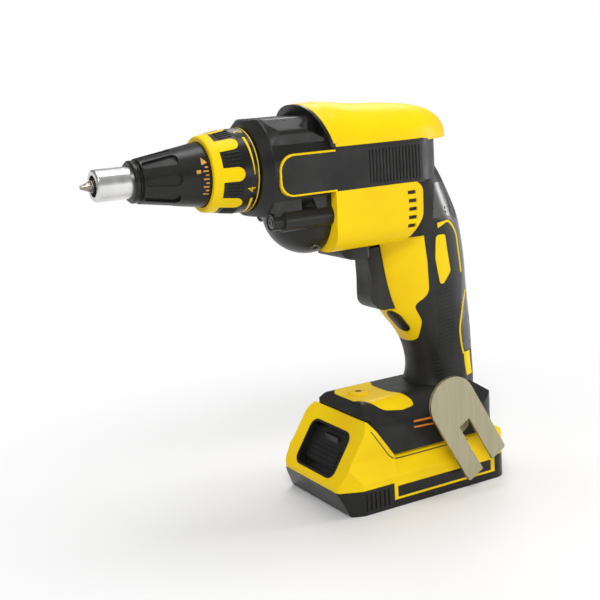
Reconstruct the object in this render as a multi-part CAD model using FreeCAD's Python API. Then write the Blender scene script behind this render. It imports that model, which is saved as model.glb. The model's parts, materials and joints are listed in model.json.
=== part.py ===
"""Cordless drywall screwdriver with a slide battery pack and a steel belt hook.

Millimetres. +X points to the rear of the tool, so the bit points along -X. +Y is the user's right
and +Z is up. The origin is the middle of the pack's base, on the surface that the tool stands on.
"""
import FreeCAD, Part
import math
import os

Vec = FreeCAD.Vector

# Clearances
RUN = 0.05            # radial running fit of shafts, and of rings in their seats
SLIP = 0.2            # gap between pieces that are assembled by hand
MOVE = 0.3            # gap between pieces that slide past each other
PROUD = 0.15          # how far the yellow windows stand above the rubber
BEYOND = 400.0        # further than any piece reaches

# Axes
AXIS_Z = 198.0        # spindle axis
GEAR_MODULE = 0.9
PINION_TEETH = 10
GEAR_TEETH = 48
GEAR_CENTRES = GEAR_MODULE * (PINION_TEETH + GEAR_TEETH) / 2
MOTOR_Z = AXIS_Z - GEAR_CENTRES

# Gear teeth
PRESSURE_ANGLE = math.radians(22.5)
TOOTH_ADDENDUM = 0.72
TOOTH_DEDENDUM = 0.99
TOOTH_THINNING = 0.24  # taken off each tooth's thickness at the pitch circle
GEAR_FRONT = -62.0
GEAR_WIDTH = 8.0

# Bit and bit holder
HEX_FLATS = 6.35
BIT_TIP_X = -178.0
BIT_LENGTH = 25.0
BIT_POINT_LENGTH = 5.5
BIT_POINT_RADIUS = 0.9
BIT_NECK_RADIUS = 2.9
HOLDER_RADIUS = 4.8
HOLDER_FRONT = -164.0
HOLDER_LENGTH = 42.0
SHANK_LENGTH = 36.0
MAGNET_RADIUS = 2.4
MAGNET_LENGTH = 3.0

# Spindle and clutch
SPINDLE_RADIUS = 5.95
SPINDLE_GAP = 4.0      # between the bit holder's body and the spindle
SPINDLE_TAIL_RADIUS = 4.0
SPINDLE_END = -47.6
BUSH_RADIUS = 8.0
BUSH_FRONT = -105.0
BUSH_LENGTH = 21.0
JAW_RADIUS = 13.0
JAW_THICKNESS = 5.3
DOG_HEIGHT = 3.0
DOG_INNER = 7.2
DOG_OUTER = 12.4
DOG_ANGLE = 40.0
DOG_COUNT = 3
DOG_GAP = 0.7         # axial gap between the two rings of dogs at rest
CLUTCH_TRAVEL = 2.6
THRUST_WASHER_THICKNESS = 1.2
CLUTCH_SPRING_RADIUS = 6.0

# Nosepiece, cone, sleeve and collar
NOSE_RADIUS = 8.3
NOSE_BORE = 5.6
NOSE_FRONT = -171.4
NOSE_LENGTH = 31.4
NOSE_FLANGE_RADIUS = 9.6
NOSE_FLANGE_LENGTH = 2.0
CONE_FRONT = -152.5
CONE_RIM_RADIUS = 11.0
CONE_RIM_LENGTH = 3.4
CONE_RIM_EDGE = 0.9
CONE_STEP = 1.2        # groove between the rim and the fluted part
CONE_LAND = 3.5        # straight part at the rear
CONE_FRONT_RADIUS = 11.7
CONE_REAR_RADIUS = 17.1
CONE_REAR = -111.0
CONE_BORE = 12.9
CONE_BORE_START = 5.0  # length of the straight bore in front of the cone's rear end
SPIGOT_RADIUS = 15.0
SPIGOT_LENGTH = 9.8
FLUTE_COUNT = 8
FLUTE_WIDTH = 7.0
FLUTE_LENGTH = 19.0
FLUTE_DEPTH = 1.2
FLUTE_START = 0.6      # behind the rim's groove
O_RING_RADIUS = 0.8
SLEEVE_RADIUS = 17.3
SLEEVE_LENGTH = 14.0
SLEEVE_FLANGE_LENGTH = 4.0
KEY_WIDTH = 3.0
KEY_HEIGHT = 1.1
COLLAR_RADIUS = 22.5
COLLAR_FRONT = -113.0
COLLAR_REAR = -87.6
COLLAR_FRONT_RADIUS = 20.2
COLLAR_EDGE = 0.7
BAND_RING_LENGTH = 5.0
BAND_THICKNESS = 1.3
FINGER_COUNT = 8
FINGER_WIDTH = 7.5
FINGER_LENGTH = 11.5
COLLAR_SEAT_RADIUS = 18.5
COLLAR_SEAT_LENGTH = 5.7
CLIP_INNER = 17.8
CLIP_OUTER = 19.3
CLIP_WIDTH = 1.2

# Gear case
CASE_FRONT = -87.3
CASE_REAR = -46.6
CASE_RADIUS = 29.0
CASE_FRONT_RADIUS = 24.4
CASE_CHAMFER = 5.0
CASE_TOP_HALF = 14.0
CASE_TOP_Z = 224.4
CASE_SHOULDER_HALF = 26.0
CASE_SHOULDER_Z = 218.0
CASE_LOW = 25.0        # depth of the case's front below the spindle axis
CASE_LOW_REAR = -66.0
DOME_RADIUS = 24.0
DOME_CENTRE_X = -50.0
NECK_RADIUS = 11.5
NECK_FRONT = -106.0
PLATE_THICKNESS = 4.5
PLATE_RADIUS = 24.0
PLATE_MOTOR_RADIUS = 17.5
CASE_TAPER = 8.0       # length over which the top rises behind the front chamfer
CASE_SCREW_Y = 20.3
CASE_SCREW_Z = 170.5
TOP_SCREW_Y = 13.0
TOP_SCREW_Z = 220.8
TOP_SCREW_FLANGE = 5.0  # wall of the housing under a top screw's head
ARCH_LENGTH = 9.0      # of the raised arch in front of the cover, at its top
ARCH_FOOT = 2.5        # and at its sides
ARCH_RECESS = [(-50.0, 225.0), (-50.0, 212.5), (-63.5, 219.5)]  # side view, beside the arch
ARCH_RECESS_Y = 17.5
CASE_SCREW_RADIUS = 2.0
CASE_SCREW_HEAD = 3.5
CASE_SCREW_HEAD_LENGTH = 3.0
CASE_SCREW_REACH = 12.0
CASE_BOSS_RADIUS = 6.0
CASE_BOSS_FRONT_RADIUS = 4.7
CASE_BOSS_FRONTS = {-1: -83.0, 1: -67.5}  # on the left and on the right
CASE_BOSS_STEP = 6.5   # length of the thin front part
CASE_WEB_HALF = 3.5
CASE_WEB_TOP = 15.0    # below the spindle axis

# Motor
STATOR_RADIUS = 17.0
STATOR_BORE = 9.6
STATOR_FRONT = -40.0
STATOR_LENGTH = 28.0
STATOR_TEETH = 6
STATOR_TOOTH_WIDTH = 5.0
STATOR_YOKE = 2.8
COIL_OVERHANG = 3.5
COIL_WIDTH = 2.6
ROTOR_RADIUS = 9.1
SHAFT_RADIUS = 2.5
SHAFT_FRONT = -62.0
SHAFT_REAR = 11.0
BEARING_RADIUS = 6.5
BEARING_WIDTH = 4.0
REAR_BEARING_X = 6.6
FAN_RADIUS = 18.4
FAN_HUB_RADIUS = 6.5
FAN_FRONT = -3.0
FAN_WIDTH = 8.0
FAN_BLADES = 9
FAN_BLADE_THICKNESS = 1.4
SENSOR_BOARD_THICKNESS = 1.6

# Head of the housing
HEAD_HALF = 29.5
BAND_LOW_Z = 183.7
BAND_TOP_Z = 206.0
BAND_FRONT = -80.0
TONGUE_INNER = 25.6    # inner face of the tongue that overlaps the gear case
HEAD_REAR = 32.0
HEAD_REAR_ROUND = 26.0
PANEL_LOW_Z = 149.2
PANEL_REAR = 10.5
PANEL_LOW_HALF = 28.2
PANEL_ROUND = 13.0
RUBBER = 1.6
RIB_COUNT = 20
RIB_PITCH = 2.2
RIB_FIRST_X = -25.0
RIB_GROOVE_WIDTH = 1.1
RIB_GROOVE_DEPTH = 0.5
VENT_COUNT = 5
VENT_LENGTH = 5.5
VENT_HEIGHT = 2.0
VENT_PITCH = 4.7
VENT_X = -0.4
VENT_TOP_Z = 178.0

# Cover stations: x, half width, top z
COVER_STATIONS = [
    (-45.0, 29.0, 230.4),
    (-34.0, 29.6, 230.6),
    (-20.0, 29.7, 228.8),
    (-6.0, 29.7, 228.0),
    (10.0, 28.6, 227.0),
    (24.0, 24.6, 225.0),
    (34.0, 18.6, 221.4),
    (40.0, 12.0, 216.8),
    (43.0, 5.0, 212.4),
]

# Handle stations: z, front x, back x, half width
HANDLE_STATIONS = [
    (50.0, 9.0, 55.0, 23.5),
    (57.0, 14.5, 58.0, 20.0),
    (66.0, 17.6, 58.8, 17.6),
    (80.0, 16.0, 58.6, 17.0),
    (92.0, 10.5, 58.3, 17.2),
    (105.0, 0.5, 57.5, 17.6),
    (118.0, -5.0, 56.7, 18.0),
    (132.0, -8.0, 55.8, 18.6),
    (148.0, -10.0, 53.2, 20.0),
    (160.0, -11.5, 49.6, 21.8),
    (172.0, -12.0, 43.6, 23.4),
    (184.0, -12.0, 36.8, 24.4),
    (194.0, -12.0, 30.0, 23.6),
    (203.0, -12.0, 25.0, 22.0),
]

# Yellow windows in the rubber, with corner radii: two side views, and a top view of half the foot's
TRIGGER_WINDOW = [(-30, 151), (16.4, 151), (19.3, 135), (20.5, 116, 7), (10.5, 110, 3), (16, 100, 7),
                  (16, 86, 4), (-30, 86)]
SLIM_WINDOW = [(25, 150, 2), (32, 150, 2), (36.7, 127, 3), (29, 118, 2), (25, 136, 6)]
FOOT_WINDOW = [(-31, 11, 4), (-21, 24, 9), (-8, 26, 7), (2, 25, 2), (-6, 8, 6)]
HANDLE_POWER = 2.4     # fullness of the handle's section, 2 is an ellipse
COVER_POWER = 2.2

# Foot of the housing
FOOT_FRONT = -34.5
FOOT_FRONT_LOW_Z = 52.5
FOOT_REAR = 60.6
FOOT_REAR_TOP_Z = 48.0
FOOT_HALF = 32.0
FOOT_FRONT_HALF = 27.0
FOOT_LOW_Z = 30.0
FOOT_SKIRT_FRONT = -19.2
FOOT_TOP_Z = 59.5
FOOT_SIDE_TOP_Z = 47.0
FOOT_CROWN_HALF = 19.0
LIGHT_X = -21.0        # boss of the work light on the foot's front
LIGHT_BOSS_RADIUS = 6.6
LIGHT_BOSS_HEIGHT = 1.6
LIGHT_RADIUS = 1.9
LIGHT_DEPTH = 4.0

# Trigger and controls
TRIGGER_FRONT = -15.0
TRIGGER_REAR = 3.0
TRIGGER_LOW_Z = 109.0
TRIGGER_TOP_Z = 146.5
TRIGGER_HALF = 9.6
TRIGGER_HOLLOW = 2.2   # depth of the finger's hollow
TRIGGER_TRAVEL = 7.0
TRIGGER_STEM_RADIUS = 2.4
TRIGGER_STEM_Z = 128.0
TRIGGER_STEM_LENGTH = 13.0
TRIGGER_SPRING_RADIUS = 4.0
SWITCH_FRONT = 11.8
SWITCH_LENGTH = 34.0
SWITCH_HALF = 11.5
SWITCH_LOW_Z = 108.0
SWITCH_TOP_Z = 146.0
LEVER_X = -26.5
LEVER_LENGTH = 17.0
LEVER_HALF = 17.0
LEVER_LOW_Z = 142.6
LEVER_RIB_LENGTH = 7.0
LEVER_RIB_HEIGHT = 1.4
LEVER_RIB_HALF = 10.0
LEVER_TRAVEL = 4.0
LOCK_Y = -6.3
LOCK_Z = 100.0
LOCK_HEIGHT = 13.6
LOCK_WIDTH = 8.0
LOCK_PROUD = 0.7
LOCK_REAR = 16.0
LOCK_TRAVEL = 2.5
LOCK_SPRING_RADIUS = 3.0
CONTROL_X = 38.0
CONTROL_LENGTH = 24.0
CONTROL_HALF = 10.0
CONTROL_LOW_Z = 63.0
CONTROL_TOP_Z = 99.0

# Housing screws: x and z on the right side
HOUSING_SCREWS = [(-39.0, 198.5), (-8.0, 198.5), (20.0, 198.5), (23.0, 156.0), (51.0, 118.0), (-22.0, 53.6),
                  (54.5, 50.0)]
SCREW_RADIUS = 1.6
SCREW_HEAD = 3.0
SCREW_HEAD_LENGTH = 2.4
SCREW_HEAD_Y = 9.0     # seat of the head, on the right half
SCREW_END_Y = -9.0

# Battery pack
PACK_FRONT = -57.5
PACK_REAR = 60.5
PACK_FRONT_TAPER = 6.4  # how much narrower each side is at the front
PACK_CHAMFER_X = -44.0
PACK_FOOT_X = -51.0    # front edge of the flat base
PACK_SPLIT_Z = 14.5
PACK_NOSE_Z = 17.4
PACK_SHOULDER_Z = FOOT_LOW_Z - MOVE
NECK_HALF = 25.0
PACK_NECK_TOP = 46.0
PACK_NECK_REAR = 52.0
RAIL_LOW_Z = 34.0
RAIL_HEIGHT = 4.0
RAIL_DEPTH = 3.0
RAIL_FRONT = -20.0
SKIRT_FRONT = -23.0
SKIRT_REAR = 50.0
SKIRT_LOW_Z = 4.5
SKIRT_THICKNESS = 1.6
GRIP_PAD_FRONT = -43.0
GRIP_PAD_RIBS = 6
GRIP_PAD_PITCH = 3.0
CELL_RADIUS = 9.1
CELL_LENGTH = 65.0
CELL_SIDE = 3.9         # from the end of a cell to the outside of the pack
PACK_HALF = CELL_LENGTH / 2 + CELL_SIDE
PACK_FRONT_HALF = PACK_HALF - PACK_FRONT_TAPER
CELL_COUNT = 5
CELL_PITCH = 18.8
CELL_ROW_X = 3.5
CELL_Z = 12.0
CELL_MARGIN = 0.8      # frame beyond the end cells
PACK_WALL = 2.8
HOLDER_PLATE = 7.0
STRAP_THICKNESS = 0.4
BOARD_Z = 25.0
BOARD_THICKNESS = 1.6
TERMINAL_YS = (-14.0, -5.0, 5.0, 14.0)
BLADE_THICKNESS = 1.0
BLADE_FRONT = 34.0
BLADE_LENGTH = 12.0
BLADE_LOW_Z = 38.0
CLIP_LEAF = 0.6         # thickness of the spring clips' leaves
TERMINAL_BLOCK_FRONT = 22.0
TERMINAL_BLOCK_REAR = 50.0
TERMINAL_BLOCK_HALF = 20.0
TERMINAL_BLOCK_TOP = 55.0
PACK_SCREW_X = 54.4
PACK_SCREW_Y = 28.0
PACK_SCREW_RADIUS = 1.4
PACK_SCREW_HEAD = 2.3
RECESS_HALF = 21.5
RECESS_DEPTH = 7.0
RECESS_LOW = 0.07      # ends of the recess as shares of the sloping front
RECESS_HIGH = 0.77
RECESS_ROUND = 6.0
LINER_WALL = 1.2
LATCH_TRAVEL = 4.0
LATCH_THICKNESS = 2.6
LATCH_RIBS = 4
TOOTH_HALF = 7.0
TOOTH_FRONT = -17.0
TOOTH_REAR = -12.0
TOOTH_TOP_Z = 48.6
ARM_LOW_Z = 34.0
ARM_HEIGHT = 4.0

# Belt hook
HOOK_THICKNESS = 2.0
HOOK_STANDOFF = 8.6     # from the pack's side to the outside of the plate
HOOK_LEAN = 29.6
HOOK_CENTRE_X = 14.3   # centre of the plate's round end
HOOK_CENTRE_Z = 56.3
HOOK_WIDTH = 31.4
HOOK_LENGTH = 48.0     # from that centre to the ends of the prongs
HOOK_NOTCH_WIDTH = 8.5
HOOK_NOTCH_LENGTH = 33.0
HOOK_TAB_TOP = -4.0
HOOK_TAB_LOW = -20.0
HOOK_WEB_SLANT = 8.0    # how far the web runs back behind the plate
HOOK_FLANGE_END = 8.0
HOOK_FLANGE_LOW = -27.0
HOOK_SCREW_ACROSS = 1.0
HOOK_SCREW_DOWN = 17.0
HOOK_SCREW_RADIUS = 2.0
HOOK_SCREW_HEAD = 4.2
HOOK_SCREW_HEAD_LENGTH = 2.0
HOOK_SCREW_REACH = 6.0


# Basic solids


def rod(radius, start, end, y=0.0, z=AXIS_Z):
    """Cylinder along X."""
    return Part.makeCylinder(radius, end - start, Vec(start, y, z), Vec(1, 0, 0))


def ring(outer, inner, start, end, y=0.0, z=AXIS_Z):
    """Tube along X."""
    return rod(outer, start, end, y, z).cut(rod(inner, start, end, y, z))


def peg(radius, start, end, x, z):
    """Cylinder along Y."""
    return Part.makeCylinder(radius, end - start, Vec(x, start, z), Vec(0, 1, 0))


def block(low, high):
    """Box between two corners."""
    size = [b - a for a, b in zip(low, high)]
    return Part.makeBox(size[0], size[1], size[2], Vec(*low))


def join(shapes):
    """One solid from overlapping solids."""
    return shapes[0].multiFuse(shapes[1:]).removeSplitter()


def both_sides(shape):
    """A solid and its mirror image across the tool's middle plane."""
    return shape.fuse(shape.mirror(Vec(0, 0, 0), Vec(0, 1, 0)))


def turned_about_axis(shape, angle, z=AXIS_Z):
    """Copy of a solid turned about an axis along X."""
    copy = shape.copy()
    copy.rotate(Vec(0, 0, z), Vec(1, 0, 0), angle)
    return copy


def around(shape, count, first=0.0, z=AXIS_Z):
    """Evenly spaced copies about an axis along X."""
    return [turned_about_axis(shape, first + 360.0 * i / count, z) for i in range(count)]


def hexagon(flats, start, end):
    """Hexagonal bar along X on the spindle axis."""
    corner = flats / math.sqrt(3)
    points = []
    for i in range(7):
        angle = math.radians(60 * i)
        points.append(Vec(start, corner * math.cos(angle), AXIS_Z + corner * math.sin(angle)))
    return Part.Face(Part.makePolygon(points)).extrude(Vec(end - start, 0, 0))


def revolved(points, z=AXIS_Z):
    """Solid turned about an axis along X, from a closed outline of x and radius."""
    corners = [Vec(x, 0, z + radius) for x, radius in points]
    face = Part.Face(Part.makePolygon(corners + corners[:1]))
    return face.revolve(Vec(0, 0, z), Vec(1, 0, 0), 360)


# Outlines with rounded corners


def place(plane, u, v, at):
    """Point of a plane in space."""
    if plane == "xz":
        return Vec(u, at, v)
    if plane == "yz":
        return Vec(at, u, v)
    return Vec(u, v, at)


def corner_arc(before, here, after, radius):
    """Start, middle and end of the arc that rounds one corner."""
    back = (before - here).normalize()
    on = (after - here).normalize()
    half = back.getAngle(on) / 2
    reach = radius / math.tan(half)
    inward = (back + on).normalize()
    middle = here + inward * (radius / math.sin(half) - radius)
    return here + back * reach, middle, here + on * reach


def outline(points, plane, at=0.0):
    """Flat face from corners given as u, v and, where the corner is rounded, a radius."""
    flat = [Vec(p[0], p[1], 0) for p in points]
    runs = []
    for i, point in enumerate(points):
        if len(point) > 2:
            runs.append(corner_arc(flat[i - 1], flat[i], flat[(i + 1) % len(flat)], point[2]))
        else:
            runs.append((flat[i], None, flat[i]))
    edges = []
    for i, (start, middle, end) in enumerate(runs):
        following = runs[(i + 1) % len(runs)][0]
        spots = [place(plane, p.x, p.y, at) for p in (start, middle or start, end, following)]
        if middle:
            edges.append(Part.Arc(spots[0], spots[1], spots[2]).toShape())
        if spots[2].distanceToPoint(spots[3]) > 1e-6:
            edges.append(Part.LineSegment(spots[2], spots[3]).toShape())
    return Part.Face(Part.Wire(edges))


def slab(points, plane, start, end):
    """Outline drawn out along the normal of its plane."""
    direction = {"xz": Vec(0, 1, 0), "yz": Vec(1, 0, 0), "xy": Vec(0, 0, 1)}[plane]
    return outline(points, plane, start).extrude(direction * (end - start))


def mirrored_outline(points):
    """Closed outline from its right half, listed from front to back."""
    left = [(p[0], -p[1]) + tuple(p[2:]) for p in reversed(points)]
    return list(points) + left


# Gears


def involute_point(base, radius, lean):
    """Point of an involute flank, as an angle from the tooth's centre line and a radius."""
    if radius <= base:
        return lean
    roll = math.sqrt((radius / base) ** 2 - 1)
    return lean - (roll - math.atan(roll))


def tooth_flank(teeth):
    """Radii and half angles of one tooth's flank, from root to tip."""
    pitch = GEAR_MODULE * teeth / 2
    base = pitch * math.cos(PRESSURE_ANGLE)
    half = (math.pi * GEAR_MODULE / 2 - TOOTH_THINNING) / (2 * pitch)
    lean = half + math.tan(PRESSURE_ANGLE) - PRESSURE_ANGLE
    root = pitch - TOOTH_DEDENDUM
    tip = pitch + TOOTH_ADDENDUM
    first = max(base, root)
    radii = [first, (first + tip) / 2, tip]
    flank = [(radius, involute_point(base, radius, lean)) for radius in radii]
    if root < base:
        flank.insert(0, (root, lean))
    return flank


def toothed_face(teeth, x, z, first_angle):
    """Face of a spur gear with its first tooth at an angle from +Y, straight flanks between its points."""
    flank = tooth_flank(teeth)
    points = []
    for i in range(teeth):
        centre = first_angle + 2 * math.pi * i / teeth
        for radius, angle in flank:
            points.append((radius, centre - angle))
        for radius, angle in reversed(flank):
            points.append((radius, centre + angle))
    corners = [Vec(x, r * math.cos(a), z + r * math.sin(a)) for r, a in points]
    return Part.Face(Part.makePolygon(corners + corners[:1]))


def dog_ring(start, end, first):
    """Ring of clutch dogs between two planes across the spindle."""
    dogs = []
    full = ring(DOG_OUTER, DOG_INNER, start, end)
    for i in range(DOG_COUNT):
        wedge = Part.makeCylinder(DOG_OUTER + 1, end - start, Vec(start, 0, AXIS_Z), Vec(1, 0, 0), DOG_ANGLE)
        centred = turned_about_axis(wedge, first - DOG_ANGLE / 2 + 360.0 * i / DOG_COUNT)
        dogs.append(full.common(centred))
    return dogs


# Places worked out along the spindle

GEAR_DOG_TIP = GEAR_FRONT - DOG_HEIGHT
JAW_DOG_TIP = GEAR_DOG_TIP - DOG_GAP
JAW_REAR = JAW_DOG_TIP - DOG_HEIGHT
JAW_FRONT = JAW_REAR - JAW_THICKNESS
WASHER_FRONT = JAW_FRONT - RUN - THRUST_WASHER_THICKNESS
PLATE_FRONT = CASE_REAR - PLATE_THICKNESS
HOLDER_REAR = HOLDER_FRONT + HOLDER_LENGTH
SHANK_REAR = HOLDER_REAR + SHANK_LENGTH
SPINDLE_FRONT = HOLDER_REAR + SPINDLE_GAP
SLEEVE_FRONT = CONE_REAR + SLIP
SLEEVE_REAR = SLEEVE_FRONT + SLEEVE_LENGTH
SPIGOT_REAR = CONE_REAR + SPIGOT_LENGTH
SEAT_FRONT = CASE_FRONT - COLLAR_SEAT_LENGTH


# Nose


def bit():
    """Cross-point insert bit."""
    rear = BIT_TIP_X + BIT_LENGTH
    point_end = BIT_TIP_X + BIT_POINT_LENGTH
    body = hexagon(HEX_FLATS, point_end, rear)
    point = revolved([(BIT_TIP_X, 0), (BIT_TIP_X, BIT_POINT_RADIUS), (point_end, BIT_NECK_RADIUS),
                      (point_end, 0)])
    flank = (BIT_POINT_RADIUS + BIT_NECK_RADIUS) / 2
    near = BIT_POINT_RADIUS
    far = 2 * BIT_NECK_RADIUS
    flute = slab([(flank, AXIS_Z + near), (far, AXIS_Z + near), (far, AXIS_Z + far), (near, AXIS_Z + far),
                  (near, AXIS_Z + flank)], "yz", BIT_TIP_X - 1, point_end)
    for cut in around(flute, 4):
        point = point.cut(cut)
    return body.fuse(point)


def bit_holder():
    """Round holder with a hexagonal socket in front and a hexagonal shank behind."""
    body = rod(HOLDER_RADIUS, HOLDER_FRONT, HOLDER_REAR)
    body = body.fuse(hexagon(HEX_FLATS, HOLDER_REAR, SHANK_REAR))
    socket_end = BIT_TIP_X + BIT_LENGTH + RUN
    body = body.cut(hexagon(HEX_FLATS + 2 * RUN, HOLDER_FRONT, socket_end))
    return body.cut(rod(MAGNET_RADIUS + RUN, socket_end, socket_end + MAGNET_LENGTH + RUN))


def holder_magnet():
    """Magnet at the bottom of the holder's socket."""
    start = BIT_TIP_X + BIT_LENGTH + RUN
    return rod(MAGNET_RADIUS, start, start + MAGNET_LENGTH)


def nosepiece():
    """Steel tube round the bit, with a flange that seats in the cone."""
    rear = NOSE_FRONT + NOSE_LENGTH
    body = rod(NOSE_RADIUS, NOSE_FRONT, rear).fuse(rod(NOSE_FLANGE_RADIUS, rear - NOSE_FLANGE_LENGTH, rear))
    rim = [e for e in body.Edges if e.BoundBox.XMax < NOSE_FRONT + 0.01]
    return body.makeChamfer(0.8, rim).cut(rod(NOSE_BORE, NOSE_FRONT, rear))


def cone_flute():
    """Pocket cut into the top of the cone, tilted along its slope."""
    front = CONE_FRONT + CONE_RIM_LENGTH + CONE_STEP
    slope = math.degrees(math.atan2(CONE_REAR_RADIUS - CONE_FRONT_RADIUS, CONE_REAR - front))
    half = FLUTE_WIDTH / 2
    pocket = slab([(0, -half + 1.5, 1.4), (0, half - 1.5, 1.4), (FLUTE_LENGTH, half, 0.8 * half),
                   (FLUTE_LENGTH, -half, 0.8 * half)], "xy", -FLUTE_DEPTH, CONE_REAR_RADIUS)
    pocket.rotate(Vec(0, 0, 0), Vec(0, 1, 0), -slope)
    pocket.translate(Vec(front + FLUTE_START, 0, AXIS_Z + CONE_FRONT_RADIUS))
    return pocket


def nose_cone():
    """Fluted cone that carries the nosepiece and plugs into the adjusting sleeve."""
    rim_end = CONE_FRONT + CONE_RIM_LENGTH
    seat = NOSE_FRONT + NOSE_LENGTH - NOSE_FLANGE_LENGTH - RUN
    flange_end = NOSE_FRONT + NOSE_LENGTH + RUN
    edge = CONE_RIM_EDGE
    groove = CONE_RIM_RADIUS - edge
    body = revolved([
        (CONE_FRONT, NOSE_RADIUS + RUN), (CONE_FRONT, groove), (CONE_FRONT + edge, CONE_RIM_RADIUS),
        (rim_end - edge, CONE_RIM_RADIUS), (rim_end, groove), (rim_end + edge, groove),
        (rim_end + CONE_STEP, CONE_FRONT_RADIUS), (CONE_REAR - CONE_LAND, CONE_REAR_RADIUS),
        (CONE_REAR, CONE_REAR_RADIUS),
        (CONE_REAR, SPIGOT_RADIUS - RUN), (SPIGOT_REAR, SPIGOT_RADIUS - RUN), (SPIGOT_REAR, CONE_BORE),
        (CONE_REAR - CONE_BORE_START, CONE_BORE), (flange_end, NOSE_FLANGE_RADIUS + RUN),
        (seat, NOSE_FLANGE_RADIUS + RUN),
        (seat, NOSE_RADIUS + RUN)])
    for cut in around(cone_flute(), FLUTE_COUNT):
        body = body.cut(cut)
    middle = CONE_REAR + SPIGOT_LENGTH / 2
    groove = ring(SPIGOT_RADIUS + 1, SPIGOT_RADIUS - 2 * O_RING_RADIUS - RUN, middle - O_RING_RADIUS - RUN,
                  middle + O_RING_RADIUS + RUN)
    return body.cut(groove)


def cone_o_ring():
    """Ring that holds the cone in the sleeve by friction."""
    return Part.makeTorus(SPIGOT_RADIUS - O_RING_RADIUS, O_RING_RADIUS - RUN / 2,
                          Vec(CONE_REAR + SPIGOT_LENGTH / 2, 0, AXIS_Z), Vec(1, 0, 0))


def neck_key(clearance=0.0):
    """Key along the top of the gear case's neck, or its keyway."""
    width = KEY_WIDTH / 2 + clearance
    return block((NECK_FRONT + 1, -width, AXIS_Z + NECK_RADIUS - 1),
                 (CASE_FRONT + 1, width, AXIS_Z + NECK_RADIUS + KEY_HEIGHT + clearance))


def adjusting_sleeve():
    """Sleeve that the collar's thread moves along the neck, keyed so that it can't turn."""
    body = ring(SLEEVE_RADIUS, SPIGOT_RADIUS + RUN, SLEEVE_FRONT, SLEEVE_REAR)
    body = body.fuse(ring(SLEEVE_RADIUS, NECK_RADIUS + RUN, SLEEVE_REAR - SLEEVE_FLANGE_LENGTH, SLEEVE_REAR))
    keyway = block((SLEEVE_FRONT, -KEY_WIDTH / 2 - SLIP, AXIS_Z),
                   (SLEEVE_REAR, KEY_WIDTH / 2 + SLIP, AXIS_Z + NECK_RADIUS + KEY_HEIGHT + SLIP))
    return body.cut(keyway)


def collar_outside():
    """Outer form of the collar and its grip band."""
    full = COLLAR_FRONT + BAND_RING_LENGTH + FINGER_LENGTH
    edge = COLLAR_EDGE
    return revolved([(COLLAR_FRONT, 0), (COLLAR_FRONT, COLLAR_FRONT_RADIUS - edge),
                     (COLLAR_FRONT + edge, COLLAR_FRONT_RADIUS), (full, COLLAR_RADIUS),
                     (COLLAR_REAR - edge, COLLAR_RADIUS), (COLLAR_REAR, COLLAR_RADIUS - edge),
                     (COLLAR_REAR, 0)])


def collar_finger():
    """Region of one finger of the grip band, at the top of the collar."""
    half = FINGER_WIDTH / 2
    start = COLLAR_FRONT + 1
    end = COLLAR_FRONT + BAND_RING_LENGTH + FINGER_LENGTH
    rounding = half - RUN
    return slab([(start, -half), (start, half), (end, half, rounding), (end, -half, rounding)], "xy",
                AXIS_Z + COLLAR_FRONT_RADIUS / 2, AXIS_Z + COLLAR_RADIUS + 1)


def collar_band_region():
    """Region of the yellow ring and its fingers."""
    front = rod(COLLAR_RADIUS + 1, COLLAR_FRONT - 1, COLLAR_FRONT + BAND_RING_LENGTH)
    return join([front] + around(collar_finger(), FINGER_COUNT))


def collar_core():
    """Outer form of the collar under its grip band."""
    end = COLLAR_FRONT + BAND_RING_LENGTH + FINGER_LENGTH
    front = COLLAR_FRONT + BAND_THICKNESS
    rear_radius = COLLAR_RADIUS - BAND_THICKNESS
    return revolved([(front, 0), (front, COLLAR_FRONT_RADIUS - BAND_THICKNESS), (end, rear_radius),
                     (COLLAR_REAR, rear_radius), (COLLAR_REAR, 0)])


def collar_bore():
    """Everything that is hollow in the collar."""
    thread = rod(SLEEVE_RADIUS + RUN, COLLAR_FRONT - 1, SEAT_FRONT - SLIP)
    seat = rod(COLLAR_SEAT_RADIUS + RUN, SEAT_FRONT - SLIP - 0.01, COLLAR_REAR + 1)
    clip = rod(CLIP_OUTER + RUN, clip_front() - RUN, clip_front() + CLIP_WIDTH + RUN)
    return join([thread, seat, clip])


def clip_front():
    """Front face of the collar's retaining ring."""
    return SEAT_FRONT + COLLAR_SEAT_LENGTH / 2 - CLIP_WIDTH / 2


def collar_grip_band():
    """Yellow ring with rounded fingers along the collar."""
    skin = collar_outside().cut(collar_core())
    return skin.common(collar_band_region()).cut(collar_bore())


def depth_collar():
    """Turning collar that sets the depth."""
    body = collar_outside().cut(collar_outside().cut(collar_core()).common(collar_band_region()))
    return body.cut(collar_bore())


def collar_clip():
    """Retaining ring, half in the gear case and half in the collar."""
    start = clip_front()
    body = ring(CLIP_OUTER, CLIP_INNER, start, start + CLIP_WIDTH)
    return body.cut(block((start - 1, -1.5, AXIS_Z - CLIP_OUTER - 1), (start + 2, 1.5, AXIS_Z)))


# Gear case


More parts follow.
